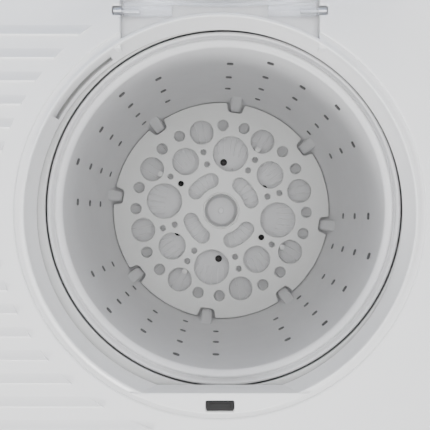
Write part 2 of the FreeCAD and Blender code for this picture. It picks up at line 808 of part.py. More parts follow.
def make_wash_lid():
    body = new_body("wash_lid", wash_x, wash_hinge_y, deck_top - 4)
    half_x = wash_half_x + 6
    middle = wash_y - wash_hinge_y
    half_y = wash_half_y + 6
    plate = new_sketch(body, "XY_Plane", 4.8)
    rectangle(plate, -half_x, middle - half_y, half_x, middle + half_y)
    pad(body, plate, 3)
    fillet_edges(body, 34, upright)
    rim = new_sketch(body, "XY_Plane", 4.9)
    inner_x, inner_y = wash_half_x - 6, wash_half_y - 24
    rectangle(rim, -inner_x, middle - inner_y, inner_x, middle + inner_y)
    rectangle(rim, 2.2 - inner_x, middle - inner_y + 2.2, inner_x - 2.2, middle + inner_y - 2.2)
    pad(body, rim, 9, down=True)
    half = recess_half + 32
    web = new_sketch(body, "YZ_Plane", 1.6 - half)
    polygon(web, [(-4, 0), (2, 0), (2, 7.8), (-14, 7.8), (-14, 5.2), (-4, 5.2)])
    pad(body, web, half * 2 - 3.2)
    barrel = new_sketch(body, "YZ_Plane", 1.6 - half)
    circle(barrel, 0, 0, 3.6)
    pad(body, barrel, half * 2 - 3.2)
    for side in (-1, 1):
        bore = new_sketch(body, "YZ_Plane", side * (half - 14))
        circle(bore, 0, 0, 1.6)
        pocket(body, bore, 20, up=side > 0)
    grip = new_sketch(body, "XY_Plane", 7.7)
    rectangle(grip, -45, middle - half_y + 8, 45, middle - half_y + 14)
    pad(body, grip, 6)


# ---------------------------------------------------------------- wash side
def at_height(edge, height):
    return abs(edge.BoundBox.ZMin - height.value) < 0.05 and abs(edge.BoundBox.ZMax - height.value) < 0.05


def make_wash_tub():
    body = new_body("wash_tub", wash_x, wash_y, 0)
    floor = wash_floor - skin
    top = deck_top - deck_skirt
    outer = new_sketch(body, "XY_Plane", floor)
    rounded_rectangle(outer, wash_half_x + skin, wash_half_y + skin, wash_corner + skin)
    pad(body, outer, top - floor)
    flange = new_sketch(body, "XY_Plane", top)
    reach = size("tub_flange", 9)
    rounded_rectangle(flange, wash_half_x + reach, wash_half_y + reach, wash_corner + reach)
    pad(body, flange, 3, down=True)
    hollow = new_sketch(body, "XY_Plane", top)
    rounded_rectangle(hollow, wash_half_x, wash_half_y, wash_corner)
    pocket(body, hollow, top - wash_floor)
    fillet_edges(body, 22, lambda edge: at_height(edge, wash_floor))
    fillet_edges(body, 24, lambda edge: at_height(edge, floor))
    dish_floor = wash_floor - 12
    spin(body, [(0, wash_floor - skin + 0.5), (pulsator_radius + 8, wash_floor - skin + 0.5),
                (pulsator_radius + 7, dish_floor - skin), (0, dish_floor - skin)])
    spin(body, [(0, wash_floor + 2), (pulsator_radius + 5, wash_floor + 2), (pulsator_radius + 3, dish_floor),
                (0, dish_floor)], cut=True)
    hub = new_sketch(body, "XY_Plane", dish_floor)
    circle(hub, 0, 0, 17.3)
    circle(hub, 140, 96, 12)
    pocket(body, hub)
    spigot = new_sketch(body, "XY_Plane", wash_floor - 1)
    circle(spigot, 140, 96, 14)
    circle(spigot, 140, 96, 12)
    pad(body, spigot, 24, down=True)
    add_filter_rails(body)


def make_lint_filter():
    """A slotted cassette that slides on rails on the tub's left wall."""
    x = wash_x - wash_half_x + 0.6
    frame = box(16, 90, 210, x, wash_y - 45, 500)
    hollow = box(11, 84, 196, x + 2.5, wash_y - 42, 510)
    slits = [box(8, 3, 150, x + 10, wash_y - 35 + 8 * step, 530) for step in range(9)]
    mouth = box(12, 70, 18, x + 10, wash_y - 35, 690)
    node(cut(frame, hollow, *slits, mouth), "lint_filter")


def add_filter_rails(body):
    """Two hooked rails on the tub's left wall."""
    wall = -wash_half_x - 0.5
    rails = new_sketch(body, "XY_Plane", 500)
    for side in (-1, 1):
        steps = [(0, 46.5), (18, 46.5), (18, 42.5), (21, 42.5), (21, 49.5), (0, 49.5)]
        polygon(rails, [(wall + out, side * along) for out, along in steps])
    pad(body, rails, 200)


def make_pulsator():
    body = new_body("pulsator", wash_x, wash_y, wash_floor - 12)
    spin(body, [(0, 2), (16.5, 2), (16.5, 1.2), (pulsator_radius, 1.2), (pulsator_radius + 1, 8),
                (pulsator_radius - 6, 12), (60, 9), (34, 15), (24, 24), (14, 28), (0, 28)])
    vane = new_sketch(body, "XZ_Plane")
    polygon(vane, [(18, 6), (18, 27), (40, 24), (90, 17), (pulsator_radius - 8, 12), (pulsator_radius - 8, 6)])
    blade = body.newObject("PartDesign::Pad", "blade")
    blade.Profile = vane
    blade.Length = 9
    blade.Midplane = True
    doc.recompute()
    repeat(body, [blade], 6)
    bore = new_sketch(body, "XY_Plane", 0)
    circle(bore, 0, 0, shaft_radius + bearing_play)
    pocket(body, bore, 20, up=True)
    screw = new_sketch(body, "XY_Plane", 30)
    circle(screw, 0, 0, 3)
    pocket(body, screw)
    holes = new_sketch(body, "XY_Plane", 30)
    for distance in (50, 70, 92):
        polar_circle(holes, distance, 30, 2.5)
    small = pocket(body, holes)
    repeat(body, [small], 6)


def make_pulsator_screw():
    head = cylinder(7, 3, wash_x, wash_y, wash_floor + 16.05)
    slit = centred_box(9, 1.4, 2, wash_x, wash_y, wash_floor + 18)
    shank = cylinder(2.9, 15, wash_x, wash_y, wash_floor + 2)
    node(fuse(cut(head, slit), shank), "pulsator_screw")


def make_pulsator_shaft():
    rod = cylinder(shaft_radius, 140, wash_x, wash_y, belt_z - 18)
    thread = cylinder(2.95, 16, wash_x, wash_y, belt_z + 110)
    place(rod, wash_x, wash_y, belt_z - 18)
    node(cut(rod, thread), "pulsator_shaft")


def make_bearing_housing():
    body = new_body("bearing_housing", wash_x, wash_y, 0)
    top = wash_floor - 12
    bore = shaft_radius + bearing_play
    spin(body, [(bore, top + 0.6), (17, top + 0.6), (17, top - 3.3), (32, top - 3.3), (32, top - 13),
                (20, top - 17), (18, belt_z + 22), (bore, belt_z + 22)])


def make_motor_bracket():
    """A steel channel under the tub that holds the bearing housing and the motor."""
    z = wash_floor - 12 - skin - 13.6
    plate = box(240, 130, 3, wash_x - 65, wash_y - 65, z - 3)
    flanges = [box(240, 3, 20, wash_x - 65, wash_y + y, z - 23) for y in (-65, 62)]
    hub = cylinder(22, 10, wash_x, wash_y, z - 6)
    holes = [cylinder(3, 10, motor_x + x, wash_y + y, z - 6) for x in (-42, 42) for y in (-42, 42)]
    stand = [box(14, 130, 10.2, wash_x + x, wash_y - 65, z) for x in (-65, 113)]
    node(fuse(cut(fuse(plate, *flanges), hub, *holes), *stand), "motor_bracket")


def pulley(name, x, radius, bore, height=22):
    body = new_body(name, x, wash_y, belt_z)
    half = height / 2
    spin(body, [(bore, half + 4), (bore + 9, half + 4), (bore + 9, 4), (radius - 6, 4), (radius - 6, 7),
                (radius, 7), (radius, 5.5), (radius - 4, 2.5), (radius - 4, -2.5), (radius, -5.5), (radius, -7),
                (radius - 6, -7), (radius - 6, -4), (bore + 9, -4), (bore + 9, -half), (bore, -half)])
    return body


def make_driven_pulley():
    body = pulley("driven_pulley", wash_x, driven_radius, shaft_radius + bearing_play)
    window = new_sketch(body, "XY_Plane", 0)
    polar_circle(window, 50, 0, 17)
    hole = pocket(body, window)
    repeat(body, [hole], 6)


def make_wash_motor_pulley():
    body = new_body("wash_motor_pulley", motor_x, wash_y, belt_z)
    spin(body, [(5.05, 12), (drive_radius, 12), (drive_radius, 5.5), (drive_radius - 4, 2.5),
                (drive_radius - 4, -2.5), (drive_radius, -5.5), (drive_radius, -8), (5.05, -8)])


def make_motor_shaft():
    node(cylinder(5, 50, motor_x, wash_y, belt_z - 10), "wash_motor_shaft")


def make_drive_belt():
    """A V-belt: its middle line is two arcs and the two outer tangents of the pulleys."""
    big, small = driven_radius.value - 1.2, drive_radius.value - 1.2
    x0, x1, y, z = wash_x.value, motor_x.value, wash_y.value, belt_z.value
    lean = math.acos((big - small) / (x1 - x0))

    def around(x, radius, angle):
        return FreeCAD.Vector(x + radius * math.cos(angle), y + radius * math.sin(angle), z)

    edges = [
        Part.Arc(around(x0, big, lean), around(x0, big, math.pi), around(x0, big, -lean)).toShape(),
        Part.LineSegment(around(x0, big, -lean), around(x1, small, -lean)).toShape(),
        Part.Arc(around(x1, small, -lean), around(x1, small, 0), around(x1, small, lean)).toShape(),
        Part.LineSegment(around(x1, small, lean), around(x0, big, lean)).toShape(),
    ]
    path = Part.Wire(edges)
    start = around(x0, big, lean)
    out = FreeCAD.Vector(math.cos(lean), math.sin(lean), 0)
    up = FreeCAD.Vector(0, 0, 1)
    corners = [start + out * a + up * b for a, b in ((-1.9, -2.2), (2.2, -4.6), (2.2, 4.6), (-1.9, 2.2))]
    section = Part.makePolygon(corners + corners[:1])
    item = doc.addObject("Part::Feature", "drive_belt")
    item.Shape = path.makePipeShell([section], True, True, 2)
    node(item, "drive_belt")


def motor_parts(x, y, low, radius, height):
    """Stator stack between two domed end shields."""
    stack = cylinder(radius, height * 0.45, x, y, low + height * 0.27)
    shields = [cylinder(radius - 6, height * 0.22, x, y, low + height * 0.05),
               cylinder(radius - 6, height * 0.22, x, y, low + height * 0.72)]
    ends = [cylinder(radius * 0.35, height * 0.06, x, y, low), cylinder(radius * 0.35, height * 0.07, x, y,
            low + height * 0.93)]
    return fuse(stack, *shields, *ends)


def make_wash_motor():
    top = wash_floor - 12 - skin - 13.6 - 3
    low = top - 78
    core = motor_parts(motor_x, wash_y, low, motor_radius, 78)
    bore = cylinder(5.05, 200, motor_x, wash_y, low - 20)
    lugs = [cylinder(6, 30, motor_x + x, wash_y + y, top - 30) for x in (-42, 42) for y in (-42, 42)]
    holes = [cylinder(2.9, 30, motor_x + x, wash_y + y, top - 20) for x in (-42, 42) for y in (-42, 42)]
    node(cut(fuse(core, *lugs), bore, *holes), "wash_motor")


def make_wash_motor_bolts():
    top = wash_floor - 12 - skin - 13.6
    bolts = []
    for x in (-42, 42):
        for y in (-42, 42):
            head = cylinder(5.5, 4, motor_x + x, wash_y + y, top)
            shank = cylinder(2.8, 18, motor_x + x, wash_y + y, top - 17)
            bolts.append(fuse(head, shank))
    node(fuse(*bolts), "wash_motor_bolts")


# ---------------------------------------------------------------- spin side
drum_z = size("drum_z", 262)
spin_shaft_radius = size("spin_shaft_radius", 8)
spin_motor_low = size("spin_motor_low", 112)
plate_z = size("plate_z", 226)
drain_x = size("drain_x", -25)
valve_y = size("valve_y", 150)
valve_z = size("valve_z", 330)
doc.recompute()


def at_spin(item, z=0):
    return place(item, spin_x, spin_y, z)


def make_spin_outer_tub():
    body = new_body("spin_outer_tub", spin_x, spin_y, 0)
    top = deck_top - 14
    inner = tub_radius - 3
    low = spin_tub_floor
    lip = size("tub_lip_z", 762)
    rim_gap = basket_lip + 12.8
    spin(body, [(34, low + 3), (34, low), (tub_radius - 8, low), (tub_radius, low + 10), (tub_radius, top - 3),
                (tub_radius + 6, top - 3), (tub_radius + 6, top), (inner, top), (inner, lip),
                (rim_gap, lip), (rim_gap, lip - 2), (inner, lip - 2.5), (inner, low + 11), (inner - 6, low + 3)])
    hole = new_sketch(body, "XY_Plane", low)
    circle(hole, -100, 70, 12)
    pocket(body, hole, 12, up=True)
    neck = new_sketch(body, "XY_Plane", low + 1)
    circle(neck, -100, 70, 14)
    circle(neck, -100, 70, 12)
    pad(body, neck, 24, down=True)


def make_basket_balance_ring():
    body = new_body("basket_balance_ring", spin_x, spin_y, basket_floor)
    top = basket_depth
    spin(body, [(basket_lip, top - 3), (basket_lip + 1.2, top - 1), (basket_lip + 3, top - 0.4),
                (basket_lip + 4.3, top), (basket_lip + 5.6, top - 0.8), (basket_lip + 7, top - 3),
                (basket_lip + 8.4, top - 1.2), (basket_lip + 9.8, top - 0.6), (basket_lip + 11.2, top - 1.6),
                (basket_lip + 11.8, top - 4), (basket_lip + 11.8, top - 26), (basket_lip + 3.5, top - 26),
                (basket_lip + 3.5, top - 6), (basket_lip, top - 6)])


def make_spin_basket():
    """A slightly tapering basket: four groups of slotted columns and eight ribs at the foot."""
    body = new_body("spin_basket", spin_x, spin_y, basket_floor)
    body.Placement.Rotation = FreeCAD.Rotation(FreeCAD.Vector(0, 0, 1), 26.4)
    top = basket_depth - 6.3
    low, high = basket_floor_radius, basket_lip + 0.9
    wall = basket_wall
    spin(body, [(0, 3.4), (0, 6.4), (3, 6.4), (3, 5), (9, 4.4), (14, 3), (17, 0), (low - 6, 0), (low - 1.5, 1.5), (low, 6), (high, top),
                (high + wall, top), (low + wall, 5), (low - 4, -2.5), (9, -2.5), (9, 3.4)])
    for turn, steps, rows in ((0, 3, (62, 117, 172)), (15.2, 2, (35, 90, 145, 200))):
        sketch = turned_sketch(body, "YZ_Plane", turn)
        for depth in rows:
            height = basket_depth - depth * slot_pitch / 55
            stadium(sketch, 0, height, (slot_height - slot_width) / 2, slot_width / 2)
        slots = pocket(body, sketch, high + 20, up=True)
        spread(body, slots, [(30.4 * (steps - 1), steps), (360, 4)])
    rib = turned_sketch(body, "XZ_Plane", 10.6)
    polygon(rib, [(low - 9, -0.5), (low - 8.5, 12), (low - 4, 32), (low + 0.9, 58), (low + 1.9, 60),
                  (low + 1.2, 6), (low - 0.6, 2.4), (low - 3.5, -0.2), (low - 5, -0.5)])
    foot = body.newObject("PartDesign::Pad", "foot_rib")
    foot.Profile = rib
    foot.Length = 12
    foot.Midplane = True
    doc.recompute()
    repeat(body, [foot], 8)
    ray = turned_sketch(body, "XZ_Plane", 3)
    rectangle(ray, 62, -0.5, low - 10, 1)
    line = body.newObject("PartDesign::Pad", "floor_ray")
    line.Profile = ray
    line.Length = 1.4
    line.Midplane = True
    doc.recompute()
    repeat(body, [line], 36)
    holes = new_sketch(body, "XY_Plane", 10)
    polar_circle(holes, 51, 0.6, 2.5)
    hole = pocket(body, holes)
    repeat(body, [hole], 6)


def screw_places(radius=51, first=27, count=6):
    angles = [math.radians(first + 360 / count * i) for i in range(count)]
    return [(spin_x + radius * math.cos(a), spin_y + radius * math.sin(a)) for a in angles]


def make_basket_hub_flange():
    body = new_body("basket_hub_flange", spin_x, spin_y, basket_floor)
    bore = spin_shaft_radius + bearing_play
    spin(body, [(bore, -2.5), (60, -2.5), (60, -7.5), (24, -8.5), (20, -11), (20, -24), (bore, -24)])
    body.Placement.Rotation = FreeCAD.Rotation(FreeCAD.Vector(0, 0, 1), 27)
    holes = new_sketch(body, "XY_Plane", 0)
    circle(holes, 51, 0, 2.5)
    hole = pocket(body, holes)
    repeat(body, [hole], 6)


def make_basket_screws():
    screws = []
    for x, y in screw_places():
        head = place(cylinder(3.6, 2.6), x, y, basket_floor)
        cross = [centred_box(a, b, 1.2, x, y, basket_floor + 1.8) for a, b in ((4.4, 0.9), (0.9, 4.4))]
        shank = place(cylinder(2.4, 9), x, y, basket_floor - 8.6)
        screws.append(fuse(cut(head, *cross), shank))
    node(fuse(*screws), "basket_screws")


def make_press_plate():
    """The perforated plate that keeps the washing down, standing on short feet."""
    body = new_body("press_plate", spin_x, spin_y, basket_floor + 12)
    spin(body, [(17, 0), (17, 3.4), (18.6, 3.4), (20, 2.5), (plate_radius - 3, 2.5), (plate_radius - 1, 3.3),
                (plate_radius, 2.6), (plate_radius, -2), (plate_radius - 1.8, -2), (plate_radius - 2.2, 0)])
    groups = [
        (4, [(59.9, 80.5, 18.2), (63, 36, 13.9), (50.4, 16.8, 3), (63.5, 16.8, 3), (50.4, 56.2, 3),
             (63.5, 56.2, 3)]),
        (8, [(83.8, 14, 12.3), (88.8, 29.3, 5.7), (88.8, 43.7, 5.7)]),
    ]
    for count, holes in groups:
        sketch = new_sketch(body, "XY_Plane", 0)
        for distance, degrees, radius in holes:
            polar_circle(sketch, distance, degrees, radius)
        repeat(body, [pocket(body, sketch)], count)
    add_bean_slots(body)
    add_plate_notches(body)
    feet = new_sketch(body, "XY_Plane", 0)
    polar_circle(feet, 74, 36.5 + 22.5, 2.2)
    foot = pad(body, feet, 10.5, down=True)
    repeat(body, [foot], 4)


def add_bean_slots(body):
    sketch = new_sketch(body, "XY_Plane", 0)
    middle, half, reach = 32.8, 7.8, math.radians(17.5)
    turn = math.radians(36)
    up = FreeCAD.Vector(0, 0, 1)

    def at(radius, angle):
        return FreeCAD.Vector(radius * math.cos(angle), radius * math.sin(angle), 0)

    low, high = turn - reach, turn + reach
    start, end = at(middle, low), at(middle, high)
    arcs = [
        Part.ArcOfCircle(Part.Circle(FreeCAD.Vector(), up, middle + half), low, high),
        Part.ArcOfCircle(Part.Circle(end, up, half), high, high + math.pi),
        Part.ArcOfCircle(Part.Circle(FreeCAD.Vector(), up, middle - half), low, high),
        Part.ArcOfCircle(Part.Circle(start, up, half), low + math.pi, low + 2 * math.pi),
    ]
    indexes = sketch.addGeometry(arcs)
    sketch.addConstraint([Sketcher.Constraint("Block", index) for index in indexes])
    repeat(body, [pocket(body, sketch)], 4)


def add_plate_notches(body):
    sketch = new_sketch(body, "XY_Plane", 0)
    turn = math.radians(37)
    corners = [(-9, plate_radius.value + 4), (-8.6, 109), (-7, 104.5), (-5.6, 102.2), (-3.6, 101.4),
               (3.6, 101.4), (5.6, 102.2), (7, 104.5), (8.6, 109), (9, plate_radius.value + 4)]
    polygon(sketch, [(far * math.cos(turn) - side * math.sin(turn), far * math.sin(turn) + side * math.cos(turn))
                     for side, far in corners])
    repeat(body, [pocket(body, sketch)], 8)


def make_spin_shaft():
    body = new_body("spin_shaft", spin_x, spin_y, 0)
    r = spin_shaft_radius
    top = basket_floor + 3
    spin(body, [(0, drum_z - 12), (r, drum_z - 12), (r, top - 1), (r - 1, top), (0, top)])


def make_brake_drum():
    body = new_body("brake_drum", spin_x, spin_y, drum_z)
    upper = spin_shaft_radius + bearing_play
    lower = shaft_radius + bearing_play
    spin(body, [(lower, -26), (16, -26), (16, 2), (44, 2), (44, -2), (50, -2), (50, 24), (46, 24), (46, 6),
                (18, 6), (18, 30), (upper, 30), (upper, -12.05), (lower, -12.05)])


def make_spin_motor():
    core = motor_parts(0, 0, 0, 62, 112)
    bore = cylinder(shaft_radius + bearing_play, 160, 0, 0, -10)
    place(node(cut(core, bore), "spin_motor"), spin_x, spin_y, spin_motor_low)


def make_spin_motor_shaft():
    low = spin_motor_low + 6
    node(place(cylinder(shaft_radius, drum_z - 12.3 - low), spin_x, spin_y, low), "spin_motor_shaft")


spring_angles = [math.radians(angle) for angle in (90, 210, 330)]


def make_motor_hanger_plate():
    plate = cylinder(96, 3, 0, 0, 0)
    hub = cylinder(24, 10, 0, 0, -3)
    windows = [cylinder(13, 10, 52 * math.cos(a + math.pi), 52 * math.sin(a + math.pi), -3) for a in spring_angles]
    studs = [cylinder(8, 10, 80 * math.cos(a), 80 * math.sin(a), -10) for a in spring_angles]
    place(node(fuse(cut(plate, hub, *windows), *studs), "motor_hanger_plate"), spin_x, spin_y, plate_z)


def make_suspension_springs():
    springs = []
    height = plate_z.value - 48
    for angle in spring_angles:
        centre = FreeCAD.Vector(spin_x.value + 80 * math.cos(angle), spin_y.value + 80 * math.sin(angle), 46.5)
        helix = Part.makeHelix(height / 9, height - 2, 12)
        ring = Part.Wire(Part.Circle(FreeCAD.Vector(12, 0, 0), FreeCAD.Vector(0, 1, 0), 1.6).toShape())
        coil = Part.Wire(helix.Edges).makePipeShell([ring], True, True)
        coil.translate(centre)
        springs.append(coil)
    item = doc.addObject("Part::Feature", "suspension_springs")
    item.Shape = Part.makeCompound(springs)
    node(item, "suspension_springs")


def make_spring_cups():
    cups = []
    for angle in spring_angles:
        x, y = spin_x + 80 * math.cos(angle), spin_y + 80 * math.sin(angle)
        outer = place(cylinder(20, 34), x, y, foot_height + 4)
        hollow = place(cylinder(15.5, 20), x, y, foot_height + 4 + 26.5)
        core = place(cylinder(8, 14), x, y, foot_height + 4 + 26)
        cups.append(fuse(cut(outer, hollow), core))
    node(fuse(*cups), "spring_cups")


def make_shaft_bellows():
    body = new_body("shaft_bellows", spin_x, spin_y, 0)
    low = spin_tub_floor
    spin(body, [(20.3, low - 30), (22.5, low - 30), (22.5, low - 18), (31, low - 15), (24, low - 10),
                (33.6, low - 5), (33.6, low + 3.3), (39, low + 3.3), (39, low + 5.3), (31, low + 5.3),
                (31, low - 3), (21.5, low - 9), (28, low - 14), (20.3, low - 16.5)])


def make_shaft_bush_housing():
    body = new_body("shaft_bush_housing", spin_x, spin_y, 0)
    low = spin_tub_floor - 34
    bore = spin_shaft_radius + bearing_play
    spin(body, [(bore, low), (24, low), (24, low + 3), (20, low + 3.3), (20, low + 20), (15, low + 30),
                (bore, low + 30)])


def make_brake_arm():
    body = new_body("brake_arm", spin_x, spin_y, drum_z + 5)
    shoe = new_sketch(body, "XY_Plane", 0)
    angles = [math.radians(150 + 10 * step) for step in range(7)]
    inner = [(50.6 / math.cos(math.radians(5)) * math.cos(a), 50.6 / math.cos(math.radians(5)) * math.sin(a))
             for a in angles]
    outer = [(56 * math.cos(a), 56 * math.sin(a)) for a in reversed(angles)]
    polygon(shoe, inner + outer)
    pad(body, shoe, 12)
    arm = new_sketch(body, "XY_Plane", 3)
    polygon(arm, [(-54, 16), (-60, 14), (-78, 56), (-62, 64), (-51, 22)])
    pad(body, arm, 5)
    eye = new_sketch(body, "XY_Plane", 3)
    circle(eye, -70, 58, 9)
    pad(body, eye, 5)
    bore = new_sketch(body, "XY_Plane", 0)
    circle(bore, -70, 58, 3.05)
    pocket(body, bore)


def make_brake_pivot():
    x, y = spin_x - 70, spin_y + 58
    post = place(cylinder(3, 38.5), x, y, plate_z + 3)
    foot = place(cylinder(7, 37.5), x, y, plate_z + 3)
    node(fuse(post, foot, place(cylinder(3, 12), x, y, plate_z + 38)), "brake_pivot")


def make_brake_cable():
    x, y = spin_x - 62, valve_y
    run = [(x, spin_y + 78, drum_z + 10), (x, y, drum_z + 10), (x, y, deck_top - 18)]
    swept_tubes("brake_cable", (run, 3))


def make_lid_switch():
    case = centred_box(30, 16, 26, 0, 0, 0)
    lever = box(16, 5, 1.2, -8, -2.5, 27.5)
    peg = cylinder(1.5, 3, 0, 0, 25.5)
    place(node(fuse(case, lever, peg), "lid_switch"), open_x + 100, valve_y + 14, deck_top - 34)


# ---------------------------------------------------------------- water
def make_drain_valve():
    x, y, z = drain_x, valve_y, valve_z
    outer = cylinder(26, 70, x, y, z - 30)
    stubs = [cylinder(14, 44, x, y, z, (0, -1, 0)), cylinder(14, 44, x, y, z, (1, 0, 0))]
    bores = [cylinder(12, 50, x, y, z, (0, -1, 0)), cylinder(12, 50, x, y, z, (1, 0, 0)),
             cylinder(16.2, 40, x, y, z, (0, 1, 0))]
    hollow = cylinder(20, 62, x, y, z - 26)
    stem_hole = cylinder(4.05, 30, x, y, z + 30)
    node(cut(fuse(outer, *stubs), *bores, hollow, stem_hole), "drain_valve_box")
    piston = cylinder(19.9, 6, x, y, z - 25.9)
    stem = cylinder(4, 80, x, y, z - 22)
    rod = cylinder(1.5, 385, x, y, z + 56)
    hook = box(8, 3, 8, x - 4, y - 1.5, z + 432)
    node(fuse(piston, stem, rod, hook), "drain_valve_plunger")


def make_drain_spigot():
    tube = cylinder(16, 44.8, drain_x, back_y - 27.8, valve_z, (0, 1, 0))
    flange = cylinder(22, 3, drain_x, back_y + 2.6, valve_z, (0, 1, 0))
    bore = cylinder(13, 80, drain_x, back_y - 50, valve_z, (0, 1, 0))
    node(cut(fuse(tube, flange), bore), "drain_spigot")


def make_drain_hoses():
    x, y = wash_x + 140, wash_y + 96
    run = [(x, y, wash_floor - 18), (x, y, valve_z), (x, valve_y - 27, valve_z)]
    swept_tubes("wash_drain_hose", (run, 16.5, 14.05))
    x, y = spin_x - 100, spin_y + 70
    run = [(x, y, spin_tub_floor - 3), (x, y, valve_z), (x, valve_y, valve_z), (drain_x + 27, valve_y, valve_z)]
    swept_tubes("spin_drain_hose", (run, 16.5, 14.05))


def make_inlet():
    x, z = 79, deck_top + 40
    tube = cylinder(13.3, 37, x, back_y - 20, z, (0, 1, 0))
    nut_stop = cylinder(16, 3, x, back_y + 0.3, z, (0, 1, 0))
    bore = cylinder(10, 60, x, back_y - 40, z, (0, 1, 0))
    node(cut(fuse(tube, nut_stop), bore), "inlet_spigot")
    chamber = box(34, 24, 26, x - 17, 153.5, deck_top + 27)
    riser = cylinder(10.5, 50, x, 165, deck_top - 12)
    duct = box(38, 97, 8.5, x - 19, 79, deck_top - 13)
    room = box(30, 30, 22, x - 15, 155.5, deck_top + 29)
    shaft = cylinder(8.5, 60, x, 165, deck_top - 10)
    channel = box(34, 105, 5.5, x - 17, 69, deck_top - 11.5)
    node(cut(fuse(chamber, riser, duct), room, shaft, channel), "inlet_channel")


def make_run_capacitors():
    cans = [cylinder(18, 66, x, 140, foot_height + 4) for x in (-250, -200)]
    tags = [centred_box(3, 6, 8, x, 140, foot_height + 4 + 66) for x in (-256, -244, -206, -194)]
    node(fuse(*cans, *tags), "run_capacitors")


def make_wiring_harness():
    trunk = [(-240, back_y - 9, 130), (-240, 170, 130), (-240, 170, deck_top + 8)]
    branch = [(-232, 170, 180), (150, 170, 180), (150, 42, 180)]
    swept_tubes("wiring_harness", (trunk, 3.8), (branch, 3.8))


def add_deck_holes():
    """Passages through the deck for the wiring and the water riser."""
    deck = [item for item in nodes if item.Label == "top_deck"][0]
    nodes.remove(deck)
    deck.Label = "deck_moulding"
    holes = [cylinder(5, 20, -240, 170, deck_top - 10), cylinder(10.8, 20, 79, 165, deck_top - 10)]
    node(cut(deck, *holes), "top_deck")


def write_parts():
    os.makedirs("parts", exist_ok=True)
    for item in nodes:
        shape = item.Shape
        if "Invalid" in item.State or "Error" in item.State or shape.isNull() or not shape.isValid():
            raise RuntimeError(f"{item.Label} failed: {item.State}")
        shape.exportStep(f"parts/{item.Label}.step")
        print(item.Label, len(shape.Solids), round(shape.Volume), shape.BoundBox)


makers = [
    make_base_frame, make_foot_pads, make_cabinet_shell, make_side_handle_cups, make_rear_cover,
    make_rear_cover_screws, make_cord_gland, make_top_deck, make_lid_bumper, make_console_housing,
    make_console_fascia, make_switch_bodies, make_spin_lid, make_wash_lid, make_wash_tub, make_lint_filter,
    make_pulsator, make_pulsator_screw, make_pulsator_shaft, make_bearing_housing,
    make_motor_bracket, make_driven_pulley, make_wash_motor_pulley, make_motor_shaft, make_drive_belt,
    make_wash_motor, make_wash_motor_bolts, make_spin_outer_tub, make_basket_balance_ring, make_spin_basket,
    make_basket_hub_flange, make_basket_screws, make_press_plate, make_spin_shaft, make_brake_drum,
    make_spin_motor, make_spin_motor_shaft, make_motor_hanger_plate, make_suspension_springs,
    make_spring_cups, make_shaft_bellows, make_shaft_bush_housing, make_brake_arm, make_brake_pivot,
    make_brake_cable, make_lid_switch, make_drain_valve, make_drain_spigot, make_drain_hoses, make_inlet,
    make_run_capacitors, make_wiring_harness, add_deck_holes,
]
for maker in makers:
    maker()
    print("made", maker.__name__, flush=True)
for knob_name, knob_x in knob_spots:
    make_knob(knob_name, knob_x)
make_lid_pins("spin_lid_pins", open_x, hinge_y, recess_half.value, -lid_lean.value)
make_lid_pins("wash_lid_pins", wash_x, wash_hinge_y, recess_half.value + 32, 0)
doc.recompute()
write_parts()
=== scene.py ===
import bpy
import bmesh
import json
import math
from mathutils import Matrix, Vector


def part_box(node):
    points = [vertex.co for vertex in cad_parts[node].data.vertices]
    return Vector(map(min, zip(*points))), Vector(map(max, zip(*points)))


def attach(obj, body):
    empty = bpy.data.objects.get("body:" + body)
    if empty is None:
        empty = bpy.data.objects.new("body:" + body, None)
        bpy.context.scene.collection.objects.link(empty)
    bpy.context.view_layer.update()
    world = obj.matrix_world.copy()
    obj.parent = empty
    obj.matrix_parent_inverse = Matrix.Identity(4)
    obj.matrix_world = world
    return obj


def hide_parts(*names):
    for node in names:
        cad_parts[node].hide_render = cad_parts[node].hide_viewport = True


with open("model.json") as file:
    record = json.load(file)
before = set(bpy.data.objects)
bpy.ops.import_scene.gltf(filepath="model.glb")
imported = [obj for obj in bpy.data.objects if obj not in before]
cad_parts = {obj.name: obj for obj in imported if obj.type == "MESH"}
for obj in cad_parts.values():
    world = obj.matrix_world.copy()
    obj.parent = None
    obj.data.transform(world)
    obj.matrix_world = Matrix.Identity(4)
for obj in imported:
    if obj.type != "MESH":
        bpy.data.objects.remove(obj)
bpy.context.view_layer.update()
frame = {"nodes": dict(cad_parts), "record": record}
nodes = frame["nodes"]
joints = {joint["name"]: joint for joint in frame["record"]["behaviour"]["joints"]}
mm = 0.001

lidHinge = Vector(joints["spin_lid_hinge"]["pos_m"])
washHinge = Vector(joints["wash_lid_hinge"]["pos_m"])
spinAxis = Vector(joints["basket_spin"]["pos_m"])
washAxis = Vector(joints["pulsator_spin"]["pos_m"])
mouth = Vector((lidHinge.x, lidHinge.y - 138 * mm, 0))  # middle of the spin opening
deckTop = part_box("lid_bumper")[0][2] + 2 * mm
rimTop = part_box("basket_balance_ring")[1][2]
basketFloor = rimTop - 264 * mm


def newGroup(name, inputs, outputs):
    group = bpy.data.node_groups.new(name, "ShaderNodeTree")
    for label, kind, value in inputs:
        socket = group.interface.new_socket(label, in_out="INPUT", socket_type=kind)
        if value is not None:
            socket.default_value = value
    for label, kind in outputs:
        group.interface.new_socket(label, in_out="OUTPUT", socket_type=kind)
    return group, group.nodes.new("NodeGroupInput").outputs, group.nodes.new("NodeGroupOutput").inputs


def feed(tree, socket, source):  # links a socket, or sets its fixed value
    if isinstance(source, bpy.types.NodeSocket):
        tree.links.new(source, socket)
    else:
        socket.default_value = source


def addNode(tree, kind, links=None, **values):
    node = tree.nodes.new(kind)
    for key, value in values.items():
        setattr(node, key, value)
    for name, source in (links or {}).items():
        feed(tree, node.inputs[name], source)
    return node


